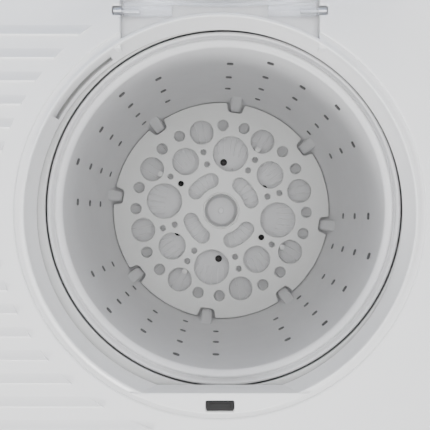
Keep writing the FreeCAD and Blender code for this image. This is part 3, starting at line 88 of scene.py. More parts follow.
def mixColour(tree, factor, first, second):
    node = addNode(tree, "ShaderNodeMix", data_type="RGBA")
    for index, source in ((0, factor), (6, first), (7, second)):  # the colour sockets of this node
        feed(tree, node.inputs[index], source)
    return node.outputs[2]


def maths(tree, operation, first, second=0.0):
    node = addNode(tree, "ShaderNodeMath", {0: first, 1: second}, operation=operation)
    return node.outputs[0]


def remap(tree, value, low, high, toLow, toHigh):
    node = addNode(tree, "ShaderNodeMapRange", {"Value": value, "From Min": low, "From Max": high,
                                                "To Min": toLow, "To Max": toHigh})
    return node.outputs["Result"]


def mouldTone():
    group, given, result = newGroup(
        "mouldTone",
        [("Vector", "NodeSocketVector", None), ("Colour", "NodeSocketColor", (0.8, 0.8, 0.8, 1)),
         ("Tint", "NodeSocketColor", (0.7, 0.7, 0.7, 1)), ("Amount", "NodeSocketFloat", 0.3)],
        [("Colour", "NodeSocketColor"), ("Mask", "NodeSocketFloat")])
    broad = addNode(group, "ShaderNodeTexNoise", {"Vector": given["Vector"], "Scale": 9.0, "Detail": 3.0})
    fine = addNode(group, "ShaderNodeTexNoise", {"Vector": given["Vector"], "Scale": 70.0, "Detail": 5.0})
    both = maths(group, "ADD", maths(group, "MULTIPLY", broad.outputs["Fac"], 0.7),
                 maths(group, "MULTIPLY", fine.outputs["Fac"], 0.3))
    mask = remap(group, both, 0.38, 0.62, 0.0, 1.0)
    colour = mixColour(group, maths(group, "MULTIPLY", mask, given["Amount"]),
                       given["Colour"], given["Tint"])
    group.links.new(colour, result["Colour"])
    group.links.new(mask, result["Mask"])
    return group


def mouldGrain():
    group, given, result = newGroup(
        "mouldGrain",
        [("Vector", "NodeSocketVector", None), ("Grain Scale", "NodeSocketFloat", 900.0),
         ("Ripple Scale", "NodeSocketFloat", 16.0), ("Ripple", "NodeSocketFloat", 0.5)],
        [("Height", "NodeSocketFloat")])
    grain = addNode(group, "ShaderNodeTexNoise", {"Vector": given["Vector"],
                                                  "Scale": given["Grain Scale"], "Detail": 2.0})
    ripple = addNode(group, "ShaderNodeTexNoise", {"Vector": given["Vector"],
                                                   "Scale": given["Ripple Scale"], "Detail": 1.0})
    height = maths(group, "ADD", maths(group, "MULTIPLY", grain.outputs["Fac"], 0.12),
                   maths(group, "MULTIPLY", ripple.outputs["Fac"], given["Ripple"]))
    group.links.new(height, result["Height"])
    return group


def fineScratches():
    group, given, result = newGroup(
        "fineScratches",
        [("Vector", "NodeSocketVector", None), ("Scale", "NodeSocketFloat", 60.0),
         ("Amount", "NodeSocketFloat", 0.3)],
        [("Mask", "NodeSocketFloat")])
    stretch = addNode(group, "ShaderNodeMapping", {"Vector": given["Vector"], "Rotation": (0.3, 0.2, 0.7),
                                                   "Scale": (1.0, 22.0, 1.0)})
    lines = addNode(group, "ShaderNodeTexNoise", {"Vector": stretch.outputs["Vector"],
                                                  "Scale": given["Scale"], "Detail": 3.0})
    mask = maths(group, "MULTIPLY", remap(group, lines.outputs["Fac"], 0.62, 0.72, 0.0, 1.0),
                 given["Amount"])
    group.links.new(mask, result["Mask"])
    return group


toneGroup = mouldTone()
grainGroup = mouldGrain()
scratchGroup = fineScratches()


def useGroup(tree, group, links):
    node = tree.nodes.new("ShaderNodeGroup")
    node.node_tree = group
    for name, source in links.items():
        feed(tree, node.inputs[name], source)
    return node


def newMaterial(name):
    material = bpy.data.materials.new(name)
    material.use_nodes = True
    tree = material.node_tree
    shader = tree.nodes["Principled BSDF"]
    place = tree.nodes.new("ShaderNodeTexCoord").outputs["Object"]
    return material, tree, shader, place


def setValues(shader, **values):
    for key, value in values.items():
        shader.inputs[key.replace("_", " ")].default_value = value


def makePlastic(name, finish):
    material, tree, shader, place = newMaterial(name)
    tone = useGroup(tree, toneGroup, {"Vector": place, "Colour": (*finish["colour"], 1),
                                      "Tint": (*finish["tint"], 1), "Amount": finish["clouds"]})
    scuffs = useGroup(tree, scratchGroup, {"Vector": place, "Scale": 40.0, "Amount": finish["scuffs"]})
    grain = useGroup(tree, grainGroup, {"Vector": place, "Grain Scale": finish["grainScale"],
                                        "Ripple": finish["ripple"]})
    colour = tone.outputs["Colour"]
    # painted shade: the "shade" attribute mixes the slots' insides and the basket floor towards a dark grey
    if "paintedShadeGrey" in finish:
        paintedShadeAmount = addNode(tree, "ShaderNodeAttribute", attribute_name="shade").outputs["Fac"]
        colour = mixColour(tree, paintedShadeAmount, colour, (*finish["paintedShadeGrey"], 1))
    tree.links.new(colour, shader.inputs["Base Color"])
    low, high = finish["rough"]
    rough = maths(tree, "ADD", remap(tree, tone.outputs["Mask"], 0, 1, low, high),
                  maths(tree, "MULTIPLY", scuffs.outputs["Mask"], 0.35))
    tree.links.new(rough, shader.inputs["Roughness"])
    bump = addNode(tree, "ShaderNodeBump", {"Height": grain.outputs["Height"], "Strength": finish["bump"],
                                            "Distance": 0.0006})
    tree.links.new(bump.outputs["Normal"], shader.inputs["Normal"])
    setValues(shader, IOR=1.5, Coat_Weight=finish.get("coat", 0.0), Coat_Roughness=0.12)
    return material


def makeMetal(name, finish):
    material, tree, shader, place = newMaterial(name)
    tone = useGroup(tree, toneGroup, {"Vector": place, "Colour": (*finish["colour"], 1),
                                      "Tint": (*finish["tint"], 1), "Amount": finish["clouds"]})
    scuffs = useGroup(tree, scratchGroup, {"Vector": place, "Scale": 90.0, "Amount": finish["scuffs"]})
    tree.links.new(tone.outputs["Colour"], shader.inputs["Base Color"])
    low, high = finish["rough"]
    rough = maths(tree, "ADD", remap(tree, tone.outputs["Mask"], 0, 1, low, high), scuffs.outputs["Mask"])
    tree.links.new(rough, shader.inputs["Roughness"])
    bump = addNode(tree, "ShaderNodeBump", {"Height": scuffs.outputs["Mask"], "Strength": 0.15,
                                            "Distance": 0.0003})
    tree.links.new(bump.outputs["Normal"], shader.inputs["Normal"])
    setValues(shader, Metallic=finish["metal"])
    return material


plasticFinishes = {
    "deck_white": {"colour": (0.87, 0.87, 0.87), "tint": (0.83, 0.83, 0.835), "clouds": 0.25, "rough": (0.30, 0.38),
                   "scuffs": 0.2, "grainScale": 1400.0, "ripple": 0.5, "bump": 0.10, "coat": 0.15},
    "cabinet_white": {"colour": (0.78, 0.79, 0.80), "tint": (0.72, 0.73, 0.75), "clouds": 0.3, "rough": (0.34, 0.44),
                      "scuffs": 0.3, "grainScale": 1100.0, "ripple": 0.8, "bump": 0.14},
    "basket_white": {"colour": (0.74, 0.74, 0.745), "tint": (0.70, 0.70, 0.705), "clouds": 0.4,
                     "rough": (0.36, 0.48), "scuffs": 0.3, "grainScale": 900.0, "ripple": 0.9, "bump": 0.16,
                     # painted shade: dark grey for the slots' insides and the floor under the press plate
                     "paintedShadeGrey": (0.19, 0.19, 0.19)},
    "plate_white": {"colour": (0.76, 0.76, 0.745), "tint": (0.70, 0.70, 0.685), "clouds": 0.4,
                    "rough": (0.38, 0.5), "scuffs": 0.4, "grainScale": 900.0, "ripple": 0.9, "bump": 0.16},
    "tub_grey": {"colour": (0.66, 0.66, 0.655), "tint": (0.58, 0.58, 0.57), "clouds": 0.5, "rough": (0.42, 0.55),
                 "scuffs": 0.3, "grainScale": 800.0, "ripple": 0.9, "bump": 0.2},
    "panel_blue": {"colour": (0.20, 0.30, 0.46), "tint": (0.16, 0.25, 0.40), "clouds": 0.4, "rough": (0.28, 0.38),
                   "scuffs": 0.25, "grainScale": 1200.0, "ripple": 0.3, "bump": 0.12},
    "knob_white": {"colour": (0.76, 0.77, 0.78), "tint": (0.68, 0.69, 0.71), "clouds": 0.3, "rough": (0.22, 0.32),
                   "scuffs": 0.3, "grainScale": 1300.0, "ripple": 0.2, "bump": 0.08, "coat": 0.3},
    "black_rubber": {"colour": (0.004, 0.0036, 0.0034), "tint": (0.010, 0.009, 0.0085), "clouds": 0.5,
                     "rough": (0.62, 0.8), "scuffs": 0.2, "grainScale": 700.0, "ripple": 0.4, "bump": 0.3},
    "grey_rubber": {"colour": (0.13, 0.13, 0.135), "tint": (0.20, 0.20, 0.205), "clouds": 0.5,
                    "rough": (0.6, 0.78), "scuffs": 0.2, "grainScale": 700.0, "ripple": 0.4, "bump": 0.3},
    "black_plastic": {"colour": (0.025, 0.025, 0.028), "tint": (0.05, 0.05, 0.055), "clouds": 0.4,
                      "rough": (0.35, 0.5), "scuffs": 0.3, "grainScale": 900.0, "ripple": 0.3, "bump": 0.15},
    "switch_grey": {"colour": (0.42, 0.43, 0.45), "tint": (0.34, 0.35, 0.37), "clouds": 0.4, "rough": (0.45, 0.6),
                    "scuffs": 0.3, "grainScale": 800.0, "ripple": 0.5, "bump": 0.2},
    "hose_grey": {"colour": (0.30, 0.31, 0.33), "tint": (0.24, 0.25, 0.27), "clouds": 0.4, "rough": (0.5, 0.65),
                  "scuffs": 0.2, "grainScale": 700.0, "ripple": 0.5, "bump": 0.25},
}
metalFinishes = {
    "steel": {"colour": (0.56, 0.57, 0.59), "tint": (0.42, 0.43, 0.45), "clouds": 0.5, "rough": (0.28, 0.42),
              "scuffs": 0.2, "metal": 1.0},
    "motor_steel": {"colour": (0.12, 0.125, 0.135), "tint": (0.19, 0.19, 0.2), "clouds": 0.5, "rough": (0.4, 0.55),
                    "scuffs": 0.2, "metal": 0.6},
    "black_screw": {"colour": (0.02, 0.02, 0.022), "tint": (0.06, 0.055, 0.05), "clouds": 0.6,
                    "rough": (0.35, 0.55), "scuffs": 0.2, "metal": 0.8},
    "alloy": {"colour": (0.62, 0.63, 0.64), "tint": (0.5, 0.51, 0.52), "clouds": 0.5, "rough": (0.4, 0.55),
              "scuffs": 0.2, "metal": 1.0},
}


def makeLidPlastic():
    material, tree, shader, place = newMaterial("lid_clear")
    tone = useGroup(tree, toneGroup, {"Vector": place, "Colour": (0.97, 0.98, 1.0, 1),
                                      "Tint": (0.94, 0.96, 0.995, 1), "Amount": 0.5})
    scuffs = useGroup(tree, scratchGroup, {"Vector": place, "Scale": 60.0, "Amount": 0.25})
    tree.links.new(tone.outputs["Colour"], shader.inputs["Base Color"])
    tree.links.new(maths(tree, "ADD", maths(tree, "MULTIPLY", tone.outputs["Mask"], 0.05), scuffs.outputs["Mask"]),
                   shader.inputs["Roughness"])
    setValues(shader, Transmission_Weight=0.85, IOR=1.12, Metallic=0.0)
    return material


finishes = {name: makePlastic(name, finish) for name, finish in plasticFinishes.items()}
finishes.update({name: makeMetal(name, finish) for name, finish in metalFinishes.items()})
finishes["lid_clear"] = makeLidPlastic()
print("materials made:", len(finishes))


def meshObject(name, mesh):
    piece = bpy.data.objects.new(name, mesh)
    bpy.context.scene.collection.objects.link(piece)
    return piece


def fromLists(name, verts, faces):
    mesh = bpy.data.meshes.new(name)
    mesh.from_pydata([tuple(v) for v in verts], [], faces)
    mesh.update()
    return meshObject(name, mesh)


def turn(profile, segments=192, centre=(0, 0)):
    verts, faces = [], []
    count = len(profile)
    for i in range(segments):
        angle = 2 * math.pi * i / segments
        verts += [(centre[0] + r * math.cos(angle), centre[1] + r * math.sin(angle), z) for r, z in profile]
    for i in range(segments):
        a, b = i * count, ((i + 1) % segments) * count
        for j in range(count):
            k = (j + 1) % count
            faces.append((a + j, b + j, b + k, a + k))
    return verts, faces


def roundOutline(points, step=6):  # corners are (x, y, radius)
    result = []
    count = len(points)
    for i, (x, y, radius) in enumerate(points):
        corner = Vector((x, y))
        back = (Vector(points[i - 1][:2]) - corner).normalized()
        ahead = (Vector(points[(i + 1) % count][:2]) - corner).normalized()
        if radius < 1e-6:
            result.append((x, y))
            continue
        half = back.angle(ahead) / 2
        middle = corner + (back + ahead).normalized() * (radius / math.sin(half))
        first = corner + back * (radius / math.tan(half)) - middle
        second = corner + ahead * (radius / math.tan(half)) - middle
        sweep = first.angle_signed(second)
        for k in range(step + 1):
            swung = first.copy()
            swung.rotate(Matrix.Rotation(-sweep * k / step, 2))
            result.append(tuple(middle + swung))
    return result


def circlePoints(x, y, radius, count=96, first=0.0, last=2 * math.pi):
    full = abs(last - first - 2 * math.pi) < 1e-6
    steps = count if full else count - 1
    return [(x + radius * math.cos(first + (last - first) * i / steps),
             y + radius * math.sin(first + (last - first) * i / steps)) for i in range(count)]


# a flat moulding cut to the loops, with every edge rounded and its upper face at the height "top"
def sheetFromLoops(name, loops, top, thickness, edge, steps=3):
    curve = bpy.data.curves.new(name, "CURVE")
    curve.dimensions = "2D"
    curve.fill_mode = "BOTH"
    curve.extrude = thickness / 2 - edge
    curve.bevel_depth = edge
    curve.bevel_resolution = steps
    curve.offset = -edge
    for loop in loops:
        spline = curve.splines.new("POLY")
        spline.points.add(len(loop) - 1)
        for point, (x, y) in zip(spline.points, loop):
            point.co = (x, y, 0, 1)
        spline.use_cyclic_u = True
    draft = bpy.data.objects.new(name + "Draft", curve)
    bpy.context.scene.collection.objects.link(draft)
    mesh = bpy.data.meshes.new_from_object(draft.evaluated_get(bpy.context.evaluated_depsgraph_get()))
    bpy.data.objects.remove(draft)
    mesh.transform(Matrix.Translation((0, 0, top - thickness / 2)))
    mesh.name = name
    return meshObject(name, weld(mesh))


def weld(mesh, distance=1e-6):
    work = bmesh.new()
    work.from_mesh(mesh)
    bmesh.ops.remove_doubles(work, verts=work.verts, dist=distance)
    bmesh.ops.dissolve_degenerate(work, edges=work.edges, dist=1e-7)
    work.to_mesh(mesh)
    work.free()
    return mesh


def joined(name, *pieces):  # several meshes made one
    work = bmesh.new()
    for piece in pieces:
        work.from_mesh(piece.data)
    mesh = bpy.data.meshes.new(name)
    work.to_mesh(mesh)
    work.free()
    for piece in pieces:
        bpy.data.objects.remove(piece)
    return meshObject(name, mesh)


def settle(piece):  # applies the modifiers
    graph = bpy.context.evaluated_depsgraph_get()
    mesh = bpy.data.meshes.new_from_object(piece.evaluated_get(graph), depsgraph=graph)
    piece.modifiers.clear()
    piece.data = mesh
    return piece


def smooth(piece, degrees):  # smooth shading that keeps creases crisp and flat faces flat
    mesh = piece.data
    mesh.shade_smooth()
    mesh.set_sharp_from_angle(angle=math.radians(degrees))
    modifier = piece.modifiers.new("weights", "WEIGHTED_NORMAL")
    modifier.keep_sharp = True
    modifier.weight = 80
    return settle(piece)


def bevelled(piece, width):
    modifier = piece.modifiers.new("edges", "BEVEL")
    modifier.width = width
    modifier.segments = 2
    modifier.limit_method = "ANGLE"
    modifier.angle_limit = math.radians(30)
    modifier.harden_normals = False
    return settle(piece)


def finish(piece, slotName, body, *replaced):  # material, body and the CAD nodes it stands for
    piece.data.materials.clear()
    piece.data.materials.append(finishes[slotName])
    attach(piece, body)
    if replaced:
        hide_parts(*replaced)
    return piece


bodyOf = {node: body for body, names in frame["record"]["behaviour"]["bodies"].items() for node in names}
slotOf = {part["node"]: part["material_slot"] for part in frame["record"]["subparts"]}


def refined(node, edge):  # the CAD shape with its hard edges rounded
    mesh = nodes[node].data.copy()
    work = bmesh.new()
    work.from_mesh(mesh)
    bmesh.ops.remove_doubles(work, verts=work.verts, dist=2e-6)
    bmesh.ops.dissolve_limit(work, angle_limit=math.radians(0.8), verts=work.verts, edges=work.edges)
    work.to_mesh(mesh)
    work.free()
    piece = meshObject(node + "_shell", mesh)
    bevelled(piece, edge)
    smooth(piece, 40)
    return finish(piece, slotOf[node], bodyOf[node], node)


deck = {
    "left": -0.360, "right": 0.360, "front": -0.215, "back": 0.198, "corner": 0.018,
    "skin": 0.0042, "edge": 0.0014, "skirt": 0.026, "shoulder": 0.005,
    "holeRadius": 0.1404, "recessHalf": 0.068, "recessBack": 0.148, "recessDeep": 0.010, "recessWall": 0.003,
    "slotDeep": 0.0055, "slotHalf": 0.0031, "slotCorner": 0.0012, "chord": 0.1227, "shelfRadius": 0.1372,
    "washHalf": 0.170, "washDeep": 0.148, "washCorner": 0.04, "washHinge": 0.100,
}


def spinHoleLoop():
    radius, half = deck["holeRadius"], deck["recessHalf"]
    lift = math.sqrt(radius ** 2 - half ** 2)
    angle = math.atan2(lift, half)
    arc = circlePoints(0, 0, radius, 220, math.pi - angle, 2 * math.pi + angle)
    pinY = lidHinge.y - mouth.y
    low, high, side = pinY - deck["slotHalf"], pinY + deck["slotHalf"], half + deck["slotDeep"]
    bend = deck["slotCorner"]
    right = [(half, lift, 0), (half, low, bend), (side, low, bend), (side, high, bend), (half, high, bend),
             (half, deck["recessBack"], 0.003)]
    left = [(-x, y, c) for x, y, c in reversed(right)]
    corners = roundOutline(right + left, 4)
    return [(x + mouth.x, y + mouth.y) for x, y in arc[1:-1] + corners]


def washLoop(grow):
    x, y = washAxis.x, washAxis.y
    halfX, halfY, corner = (deck[size] + grow for size in ("washHalf", "washDeep", "washCorner"))
    return roundOutline([(x + halfX, y + halfY, corner), (x - halfX, y + halfY, corner),
                         (x - halfX, y - halfY, corner), (x + halfX, y - halfY, corner)], 10)


def washHoleLoop():
    x, y = washAxis.x, washAxis.y
    wide, corner, half = deck["washHalf"], deck["washCorner"], deck["washHinge"]
    front, rear, back = y - deck["washDeep"], y + deck["washDeep"], washHinge.y + 0.010
    return roundOutline([(x + wide, rear, corner), (x + half, rear, 0.001), (x + half, back, 0.003),
                         (x - half, back, 0.003), (x - half, rear, 0.001), (x - wide, rear, corner),
                         (x - wide, front, corner), (x + wide, front, corner)], 8)


def deckOuterLoop(inset):
    c = deck["corner"] - inset
    left, right = deck["left"] + inset, deck["right"] - inset
    front, back = deck["front"] + inset, deck["back"] - inset
    return roundOutline([(right, back, c), (left, back, c), (left, front, c), (right, front, c)], 12)


def makeDeckSkin():
    edge = deck["edge"]
    return sheetFromLoops("deckTop", [deckOuterLoop(deck["shoulder"] - edge), spinHoleLoop(), washHoleLoop()],
                          deckTop, deck["skin"], edge, 4)


def skirtRing():  # the rolled outer edge and skirt, swept round the outline
    s = deck["shoulder"]
    rows = []
    for k in range(9):  # rolled shoulder from the top to the side
        a = math.pi / 2 * k / 8
        rows.append((s - s * math.sin(a), -s + s * math.cos(a)))
    rows += [(0.0, -deck["skirt"] + 0.0006), (0.0006, -deck["skirt"]), (0.0026, -deck["skirt"]),
             (0.0032, -deck["skirt"] + 0.0006), (0.0032, -0.006), (s + 0.002, -0.0035), (s + 0.002, -0.0004)]
    loops = [deckOuterLoop(inset) for inset, _ in rows]
    count, around = len(rows), len(loops[0])
    verts = [(*loops[j][i], deckTop + rows[j][1]) for i in range(around) for j in range(count)]
    faces = []
    for i in range(around):
        n = (i + 1) % around
        for j in range(count):
            k = (j + 1) % count
            faces.append((i * count + j, i * count + k, n * count + k, n * count + j))
    return fromLists("deckSkirt", verts, faces)


def outward(piece):
    work = bmesh.new()
    work.from_mesh(piece.data)
    bmesh.ops.recalc_face_normals(work, faces=work.faces)
    work.to_mesh(piece.data)
    work.free()
    return piece


ring = {  # (radius, height from the deck top) in mm
    "valley": [(145.0, -4.4), (145.0, -1.9), (141.6, -1.75), (140.4, -1.72), (139.2, -1.68), (138.0, -1.6),
               (137.2, -1.42), (136.4, -1.0), (135.8, -0.55), (135.2, -0.18), (134.7, -0.02), (134.2, -0.08),
               (133.8, -0.4), (133.55, -1.0), (133.42, -2.0)],
    "wall": [(133.3, -4.6), (133.1, -8.0), (132.7, -12.0), (132.1, -16.0), (131.4, -20.8), (130.75, -25.4),
             (130.7, -26.0), (131.0, -26.45), (131.6, -26.55), (132.9, -26.5), (133.3, -26.0), (133.5, -24.0),
             (135.0, -12.0), (136.2, -6.5), (137.5, -4.4)],
    "segments": 288,
    "window": {"from": 125.0, "to": 150.0, "face": ((133.3, -4.6), (131.4, -20.8)),  # degrees, and its edge rows
               "rear": ((133.5, -24.0), (136.2, -6.5)), "backRadii": (0.1346, 0.1360), "backTop": 0.0035,
               "backDeep": 0.0185},
}


def makeRing():
    rows = ring["valley"] + ring["wall"]
    window, segments = ring["window"], ring["segments"]
    verts, faces = [], []
    count = len(rows)
    for i in range(segments):
        angle = 2 * math.pi * i / segments
        verts += [(mouth.x + r * mm * math.cos(angle), mouth.y + r * mm * math.sin(angle), deckTop + z * mm)
                  for r, z in rows]
    first = round(window["from"] * segments / 360)
    last = round(window["to"] * segments / 360)
    face = [rows.index(row) for row in window["face"]]
    rear = [rows.index(row) for row in window["rear"]]
    for i in range(segments):
        n = (i + 1) % segments
        hole = first <= i < last
        for j in range(count):
            k = (j + 1) % count
            if hole and (face[0] <= j < face[1] or rear[0] <= j < rear[1]):
                continue
            faces.append((i * count + j, n * count + j, n * count + k, i * count + k))
    for i in range(first, last):  # sill and head of the window
        n = i + 1
        faces.append((i * count + face[1], n * count + face[1], n * count + rear[0], i * count + rear[0]))
        faces.append((i * count + rear[1], n * count + rear[1], n * count + face[0], i * count + face[0]))
    for i in (first, last):  # ends of the window
        faces.append(tuple(i * count + j for j in [*range(face[0], face[1] + 1), *range(rear[0], rear[1] + 1)]))
    piece = fromLists("deckRing", verts, faces)
    low, high = (math.radians(window[end]) for end in ("from", "to"))
    near, far = (circlePoints(mouth.x, mouth.y, radius, 60, low - 0.01, high + 0.01)
                 for radius in window["backRadii"])
    back = sheetFromLoops("slotBack", [near + far[::-1]], deckTop - window["backTop"], window["backDeep"], 0.0002, 1)
    return joined("deckRing", outward(piece), back)


def cutBelow(piece, half, low, high):  # clears a piece where the hinge recess crosses it
    work = bmesh.new()
    work.from_mesh(piece.data)
    work.faces.ensure_lookup_table()
    for x in (mouth.x - half, mouth.x + half):
        geometry = work.verts[:] + work.edges[:] + work.faces[:]
        bmesh.ops.bisect_plane(work, geom=geometry, plane_co=(x, 0, 0), plane_no=(1, 0, 0))
    doomed = []
    for f in work.faces:
        c = f.calc_center_median()
        far = math.hypot(c.x - mouth.x, c.y - mouth.y)
        if abs(c.x - mouth.x) < half and c.y > mouth.y and far > low and c.z > high:
            doomed.append(f)
    bmesh.ops.delete(work, geom=doomed, context="FACES")
    work.to_mesh(piece.data)
    work.free()
    return piece


def boxMesh(name, low, high):
    x0, y0, z0 = low
    x1, y1, z1 = high
    verts = [(x, y, z) for x in (x0, x1) for y in (y0, y1) for z in (z0, z1)]
    faces = [(0, 1, 3, 2), (4, 6, 7, 5), (0, 4, 5, 1), (2, 3, 7, 6), (0, 2, 6, 4), (1, 5, 7, 3)]
    return fromLists(name, verts, faces)


recess = {
    "frontRadius": 0.1352, "thick": 0.009, "top": 0.002,
    "walls": [  # name, start and end from the inner face, front, rear, depth of the top
        ("recessSide", 0.0, 0.009, 0.112, 0.1349, 0.002), ("recessEar", 0.0, 0.009, 0.1411, 0.151, 0.002),
        ("recessSeat", 0.0, 0.009, 0.1345, 0.1415, 0.0072), ("recessStop", 0.0055, 0.009, 0.1345, 0.1415, 0.002),
    ],
}


def recessTray():  # floor and walls of the hinge recess, reaching in under the ridge
    half, back, floor = deck["recessHalf"], deck["recessBack"], deckTop - deck["recessDeep"]
    x, y = mouth.x, mouth.y
    under = floor - deck["recessWall"]
    radius = recess["frontRadius"]
    side = math.acos(half / radius)
    loop = circlePoints(x, y, radius, 60, side, math.pi - side) + [(x - half, y + back), (x + half, y + back)]
    base = sheetFromLoops("recessFloor", [loop], floor, deck["recessWall"], 0.0002, 1)
    walls = []
    for hand in (-1, 1):
        for name, start, end, front, rear, deep in recess["walls"]:
            left, right = sorted((x + hand * (half + start), x + hand * (half + end)))
            walls.append(boxMesh(name, (left, y + front, under), (right, y + rear, deckTop - deep)))
    wide = half + recess["thick"]
    walls.append(boxMesh("recessBack", (x - wide, y + back, under),
                         (x + wide, y + back + deck["recessWall"], deckTop - recess["top"])))
    return joined("recessTray", base, *walls)


def frontShelf():
    half = math.sqrt(deck["shelfRadius"] ** 2 - deck["chord"] ** 2)
    angle = math.atan2(deck["chord"], half)
    loop = circlePoints(mouth.x, mouth.y, deck["shelfRadius"], 60, -math.pi + angle, -angle)
    seatHalf, seatRear, seatFront = 0.0097, mouth.y - 0.1281, mouth.y - 0.1352
    seat = roundOutline([(mouth.x + seatHalf, seatRear, 0.0008), (mouth.x - seatHalf, seatRear, 0.0008),
                         (mouth.x - seatHalf, seatFront, 0.0008), (mouth.x + seatHalf, seatFront, 0.0008)], 3)
    shelf = sheetFromLoops("shelfTop", [loop, seat], deckTop + 0.0004, 0.0032, 0.0008, 3)
    wide = half - 0.004
    wall = boxMesh("shelfWall", (mouth.x - wide, mouth.y - deck["chord"] - 0.0026, deckTop - 0.0262),
                   (mouth.x + wide, mouth.y - deck["chord"] - 0.0001, deckTop - 0.001))
    bevelled(wall, 0.0006)
    return joined("frontShelf", shelf, wall)


def washCollar():  # the wall under the wash opening's edge
    low, high = deckTop - 0.026, deckTop - 0.0035
    inner, outer = washLoop(0.0002), washLoop(0.0032)
    count = len(outer)
    cut = deckTop - 0.010
    verts, faces = [], []
    for i in range(count):
        behind = inner[i][1] > washAxis.y + 0.147 and abs(inner[i][0] - washAxis.x) < 0.1005
        upper = cut if behind else high
        verts += [(*inner[i], low), (*outer[i], low), (*outer[i], upper), (*inner[i], upper)]
    for i in range(count):
        n = (i + 1) % count
        for j in range(4):
            k = (j + 1) % 4
            faces.append((i * 4 + j, n * 4 + j, n * 4 + k, i * 4 + k))
    return outward(fromLists("washCollar", verts, faces))


def makeDeck():
    skin, skirt = makeDeckSkin(), outward(skirtRing())
    collar = cutBelow(makeRing(), deck["recessHalf"], 0.1362, deckTop - 0.0045)
    piece = joined("deckMoulding", skin, skirt, collar, recessTray(), frontShelf(), washCollar())
    smooth(piece, 34)
    return finish(piece, "deck_white", "body", "top_deck")


ribs = {"rows": 18, "pitch": 0.0158, "first": 0.1285, "start": 0.013, "radius": 0.154, "height": 0.0017,
        "length": 0.128, "slope": 0.0072, "face": 0.0011, "sink": 0.0006}


def openTree(name, inputs):  # a Geometry Nodes tree with named inputs
    tree = bpy.data.node_groups.new(name, "GeometryNodeTree")
    tree.interface.new_socket("Geometry", in_out="INPUT", socket_type="NodeSocketGeometry")
    sockets = {}
    for label, kind, value in inputs:
        sockets[label] = tree.interface.new_socket(label, in_out="INPUT", socket_type="NodeSocket" + kind)
        if value is not None:
            sockets[label].default_value = value
    tree.interface.new_socket("Geometry", in_out="OUTPUT", socket_type="NodeSocketGeometry")
    return tree, sockets, tree.nodes.new("NodeGroupInput").outputs, tree.nodes.new("NodeGroupOutput").inputs


def ribTree():  # rows of one rib, their inner ends cut off along the ring
    tree, sockets, given, result = openTree("dryingRibs", [
        ("Rows", "Int", ribs["rows"]), ("Pitch", "Float", ribs["pitch"]), ("First Row", "Float", ribs["first"]),
        ("Start", "Float", ribs["start"]), ("Edge Radius", "Float", ribs["radius"]), ("Rib", "Object", None),
        ("Material", "Material", None)])
    step = addNode(tree, "ShaderNodeCombineXYZ", {"Y": maths(tree, "MULTIPLY", given["Pitch"], -1.0)})
    origin = addNode(tree, "ShaderNodeCombineXYZ", {"X": given["Start"], "Y": given["First Row"]})
    line = addNode(tree, "GeometryNodeMeshLine", {"Count": given["Rows"], "Start Location": origin.outputs[0],
                                                  "Offset": step.outputs[0]})
    unit = addNode(tree, "GeometryNodeObjectInfo", {"Object": given["Rib"]})
    rows = addNode(tree, "GeometryNodeInstanceOnPoints", {"Points": line.outputs["Mesh"],
                                                          "Instance": unit.outputs["Geometry"]})
    real = addNode(tree, "GeometryNodeRealizeInstances", {"Geometry": rows.outputs["Instances"]})
    parts = addNode(tree, "ShaderNodeSeparateXYZ", {0: addNode(tree, "GeometryNodeInputPosition").outputs[0]})
    offset = maths(tree, "ABSOLUTE", parts.outputs["Y"])
    reach = maths(tree, "SUBTRACT", maths(tree, "POWER", given["Edge Radius"], 2.0),
                  maths(tree, "POWER", offset, 2.0))
    limit = maths(tree, "MULTIPLY", maths(tree, "SQRT", maths(tree, "MAXIMUM", reach, 0.0)), -1.0)
    after = addNode(tree, "ShaderNodeCombineXYZ", {"X": maths(tree, "MINIMUM", parts.outputs["X"], limit),
                                                   "Y": parts.outputs["Y"], "Z": parts.outputs["Z"]})
    move = addNode(tree, "GeometryNodeSetPosition", {"Geometry": real.outputs[0], "Position": after.outputs[0]})
    coat = addNode(tree, "GeometryNodeSetMaterial", {"Geometry": move.outputs[0], "Material": given["Material"]})
    tree.links.new(coat.outputs[0], result[0])
    return tree, sockets


def makeRibs():  # one rib along +X: a slow rise from the back, a rounded crest and a steep front
    h, s, f, sink = ribs["height"], ribs["slope"], ribs["face"], ribs["sink"]
    section = [(0.0, -sink), (0.0, 0.0)]
    section += [(-s * t, h * t ** 1.5) for t in (0.2, 0.4, 0.6, 0.8, 0.93)]
    section += [(-s - 0.0001, h * 0.99), (-s - f * 0.45, h * 0.8), (-s - f * 0.8, h * 0.35), (-s - f, 0.0),
                (-s - f, -sink)]
    length, steps = ribs["length"], 40
    verts, faces = [], []
    count = len(section)
    for i in range(steps + 1):
        t = i / steps
        x = length * (1 - (1 - t) ** 1.6)
        verts += [(x, y, z) for y, z in section]
    for i in range(steps):
        for j in range(count):
            k = (j + 1) % count
            faces.append((i * count + j, i * count + k, (i + 1) * count + k, (i + 1) * count + j))
    faces.append(tuple(reversed(range(count))))
    faces.append(tuple(steps * count + j for j in range(count)))
    unit = outward(fromLists("ribUnit", verts, faces))
    tree, sockets = ribTree()
    host = meshObject("dryingRibs", bpy.data.meshes.new("dryingRibs"))
    modifier = host.modifiers.new("ribs", "NODES")
    modifier.node_group = tree
    modifier[sockets["Start"].identifier] = ribs["start"] - mouth.x
    modifier[sockets["Rib"].identifier] = unit
    modifier[sockets["Material"].identifier] = finishes["deck_white"]
    settle(host)
    bpy.data.objects.remove(unit)
    host.data.transform(Matrix.Translation((mouth.x, mouth.y, deckTop - 0.0001)))
    weld(host.data, 1e-6)
    smooth(host, 45)
    return finish(host, "deck_white", "body")


makeDeck()
makeRibs()
print("deck made")


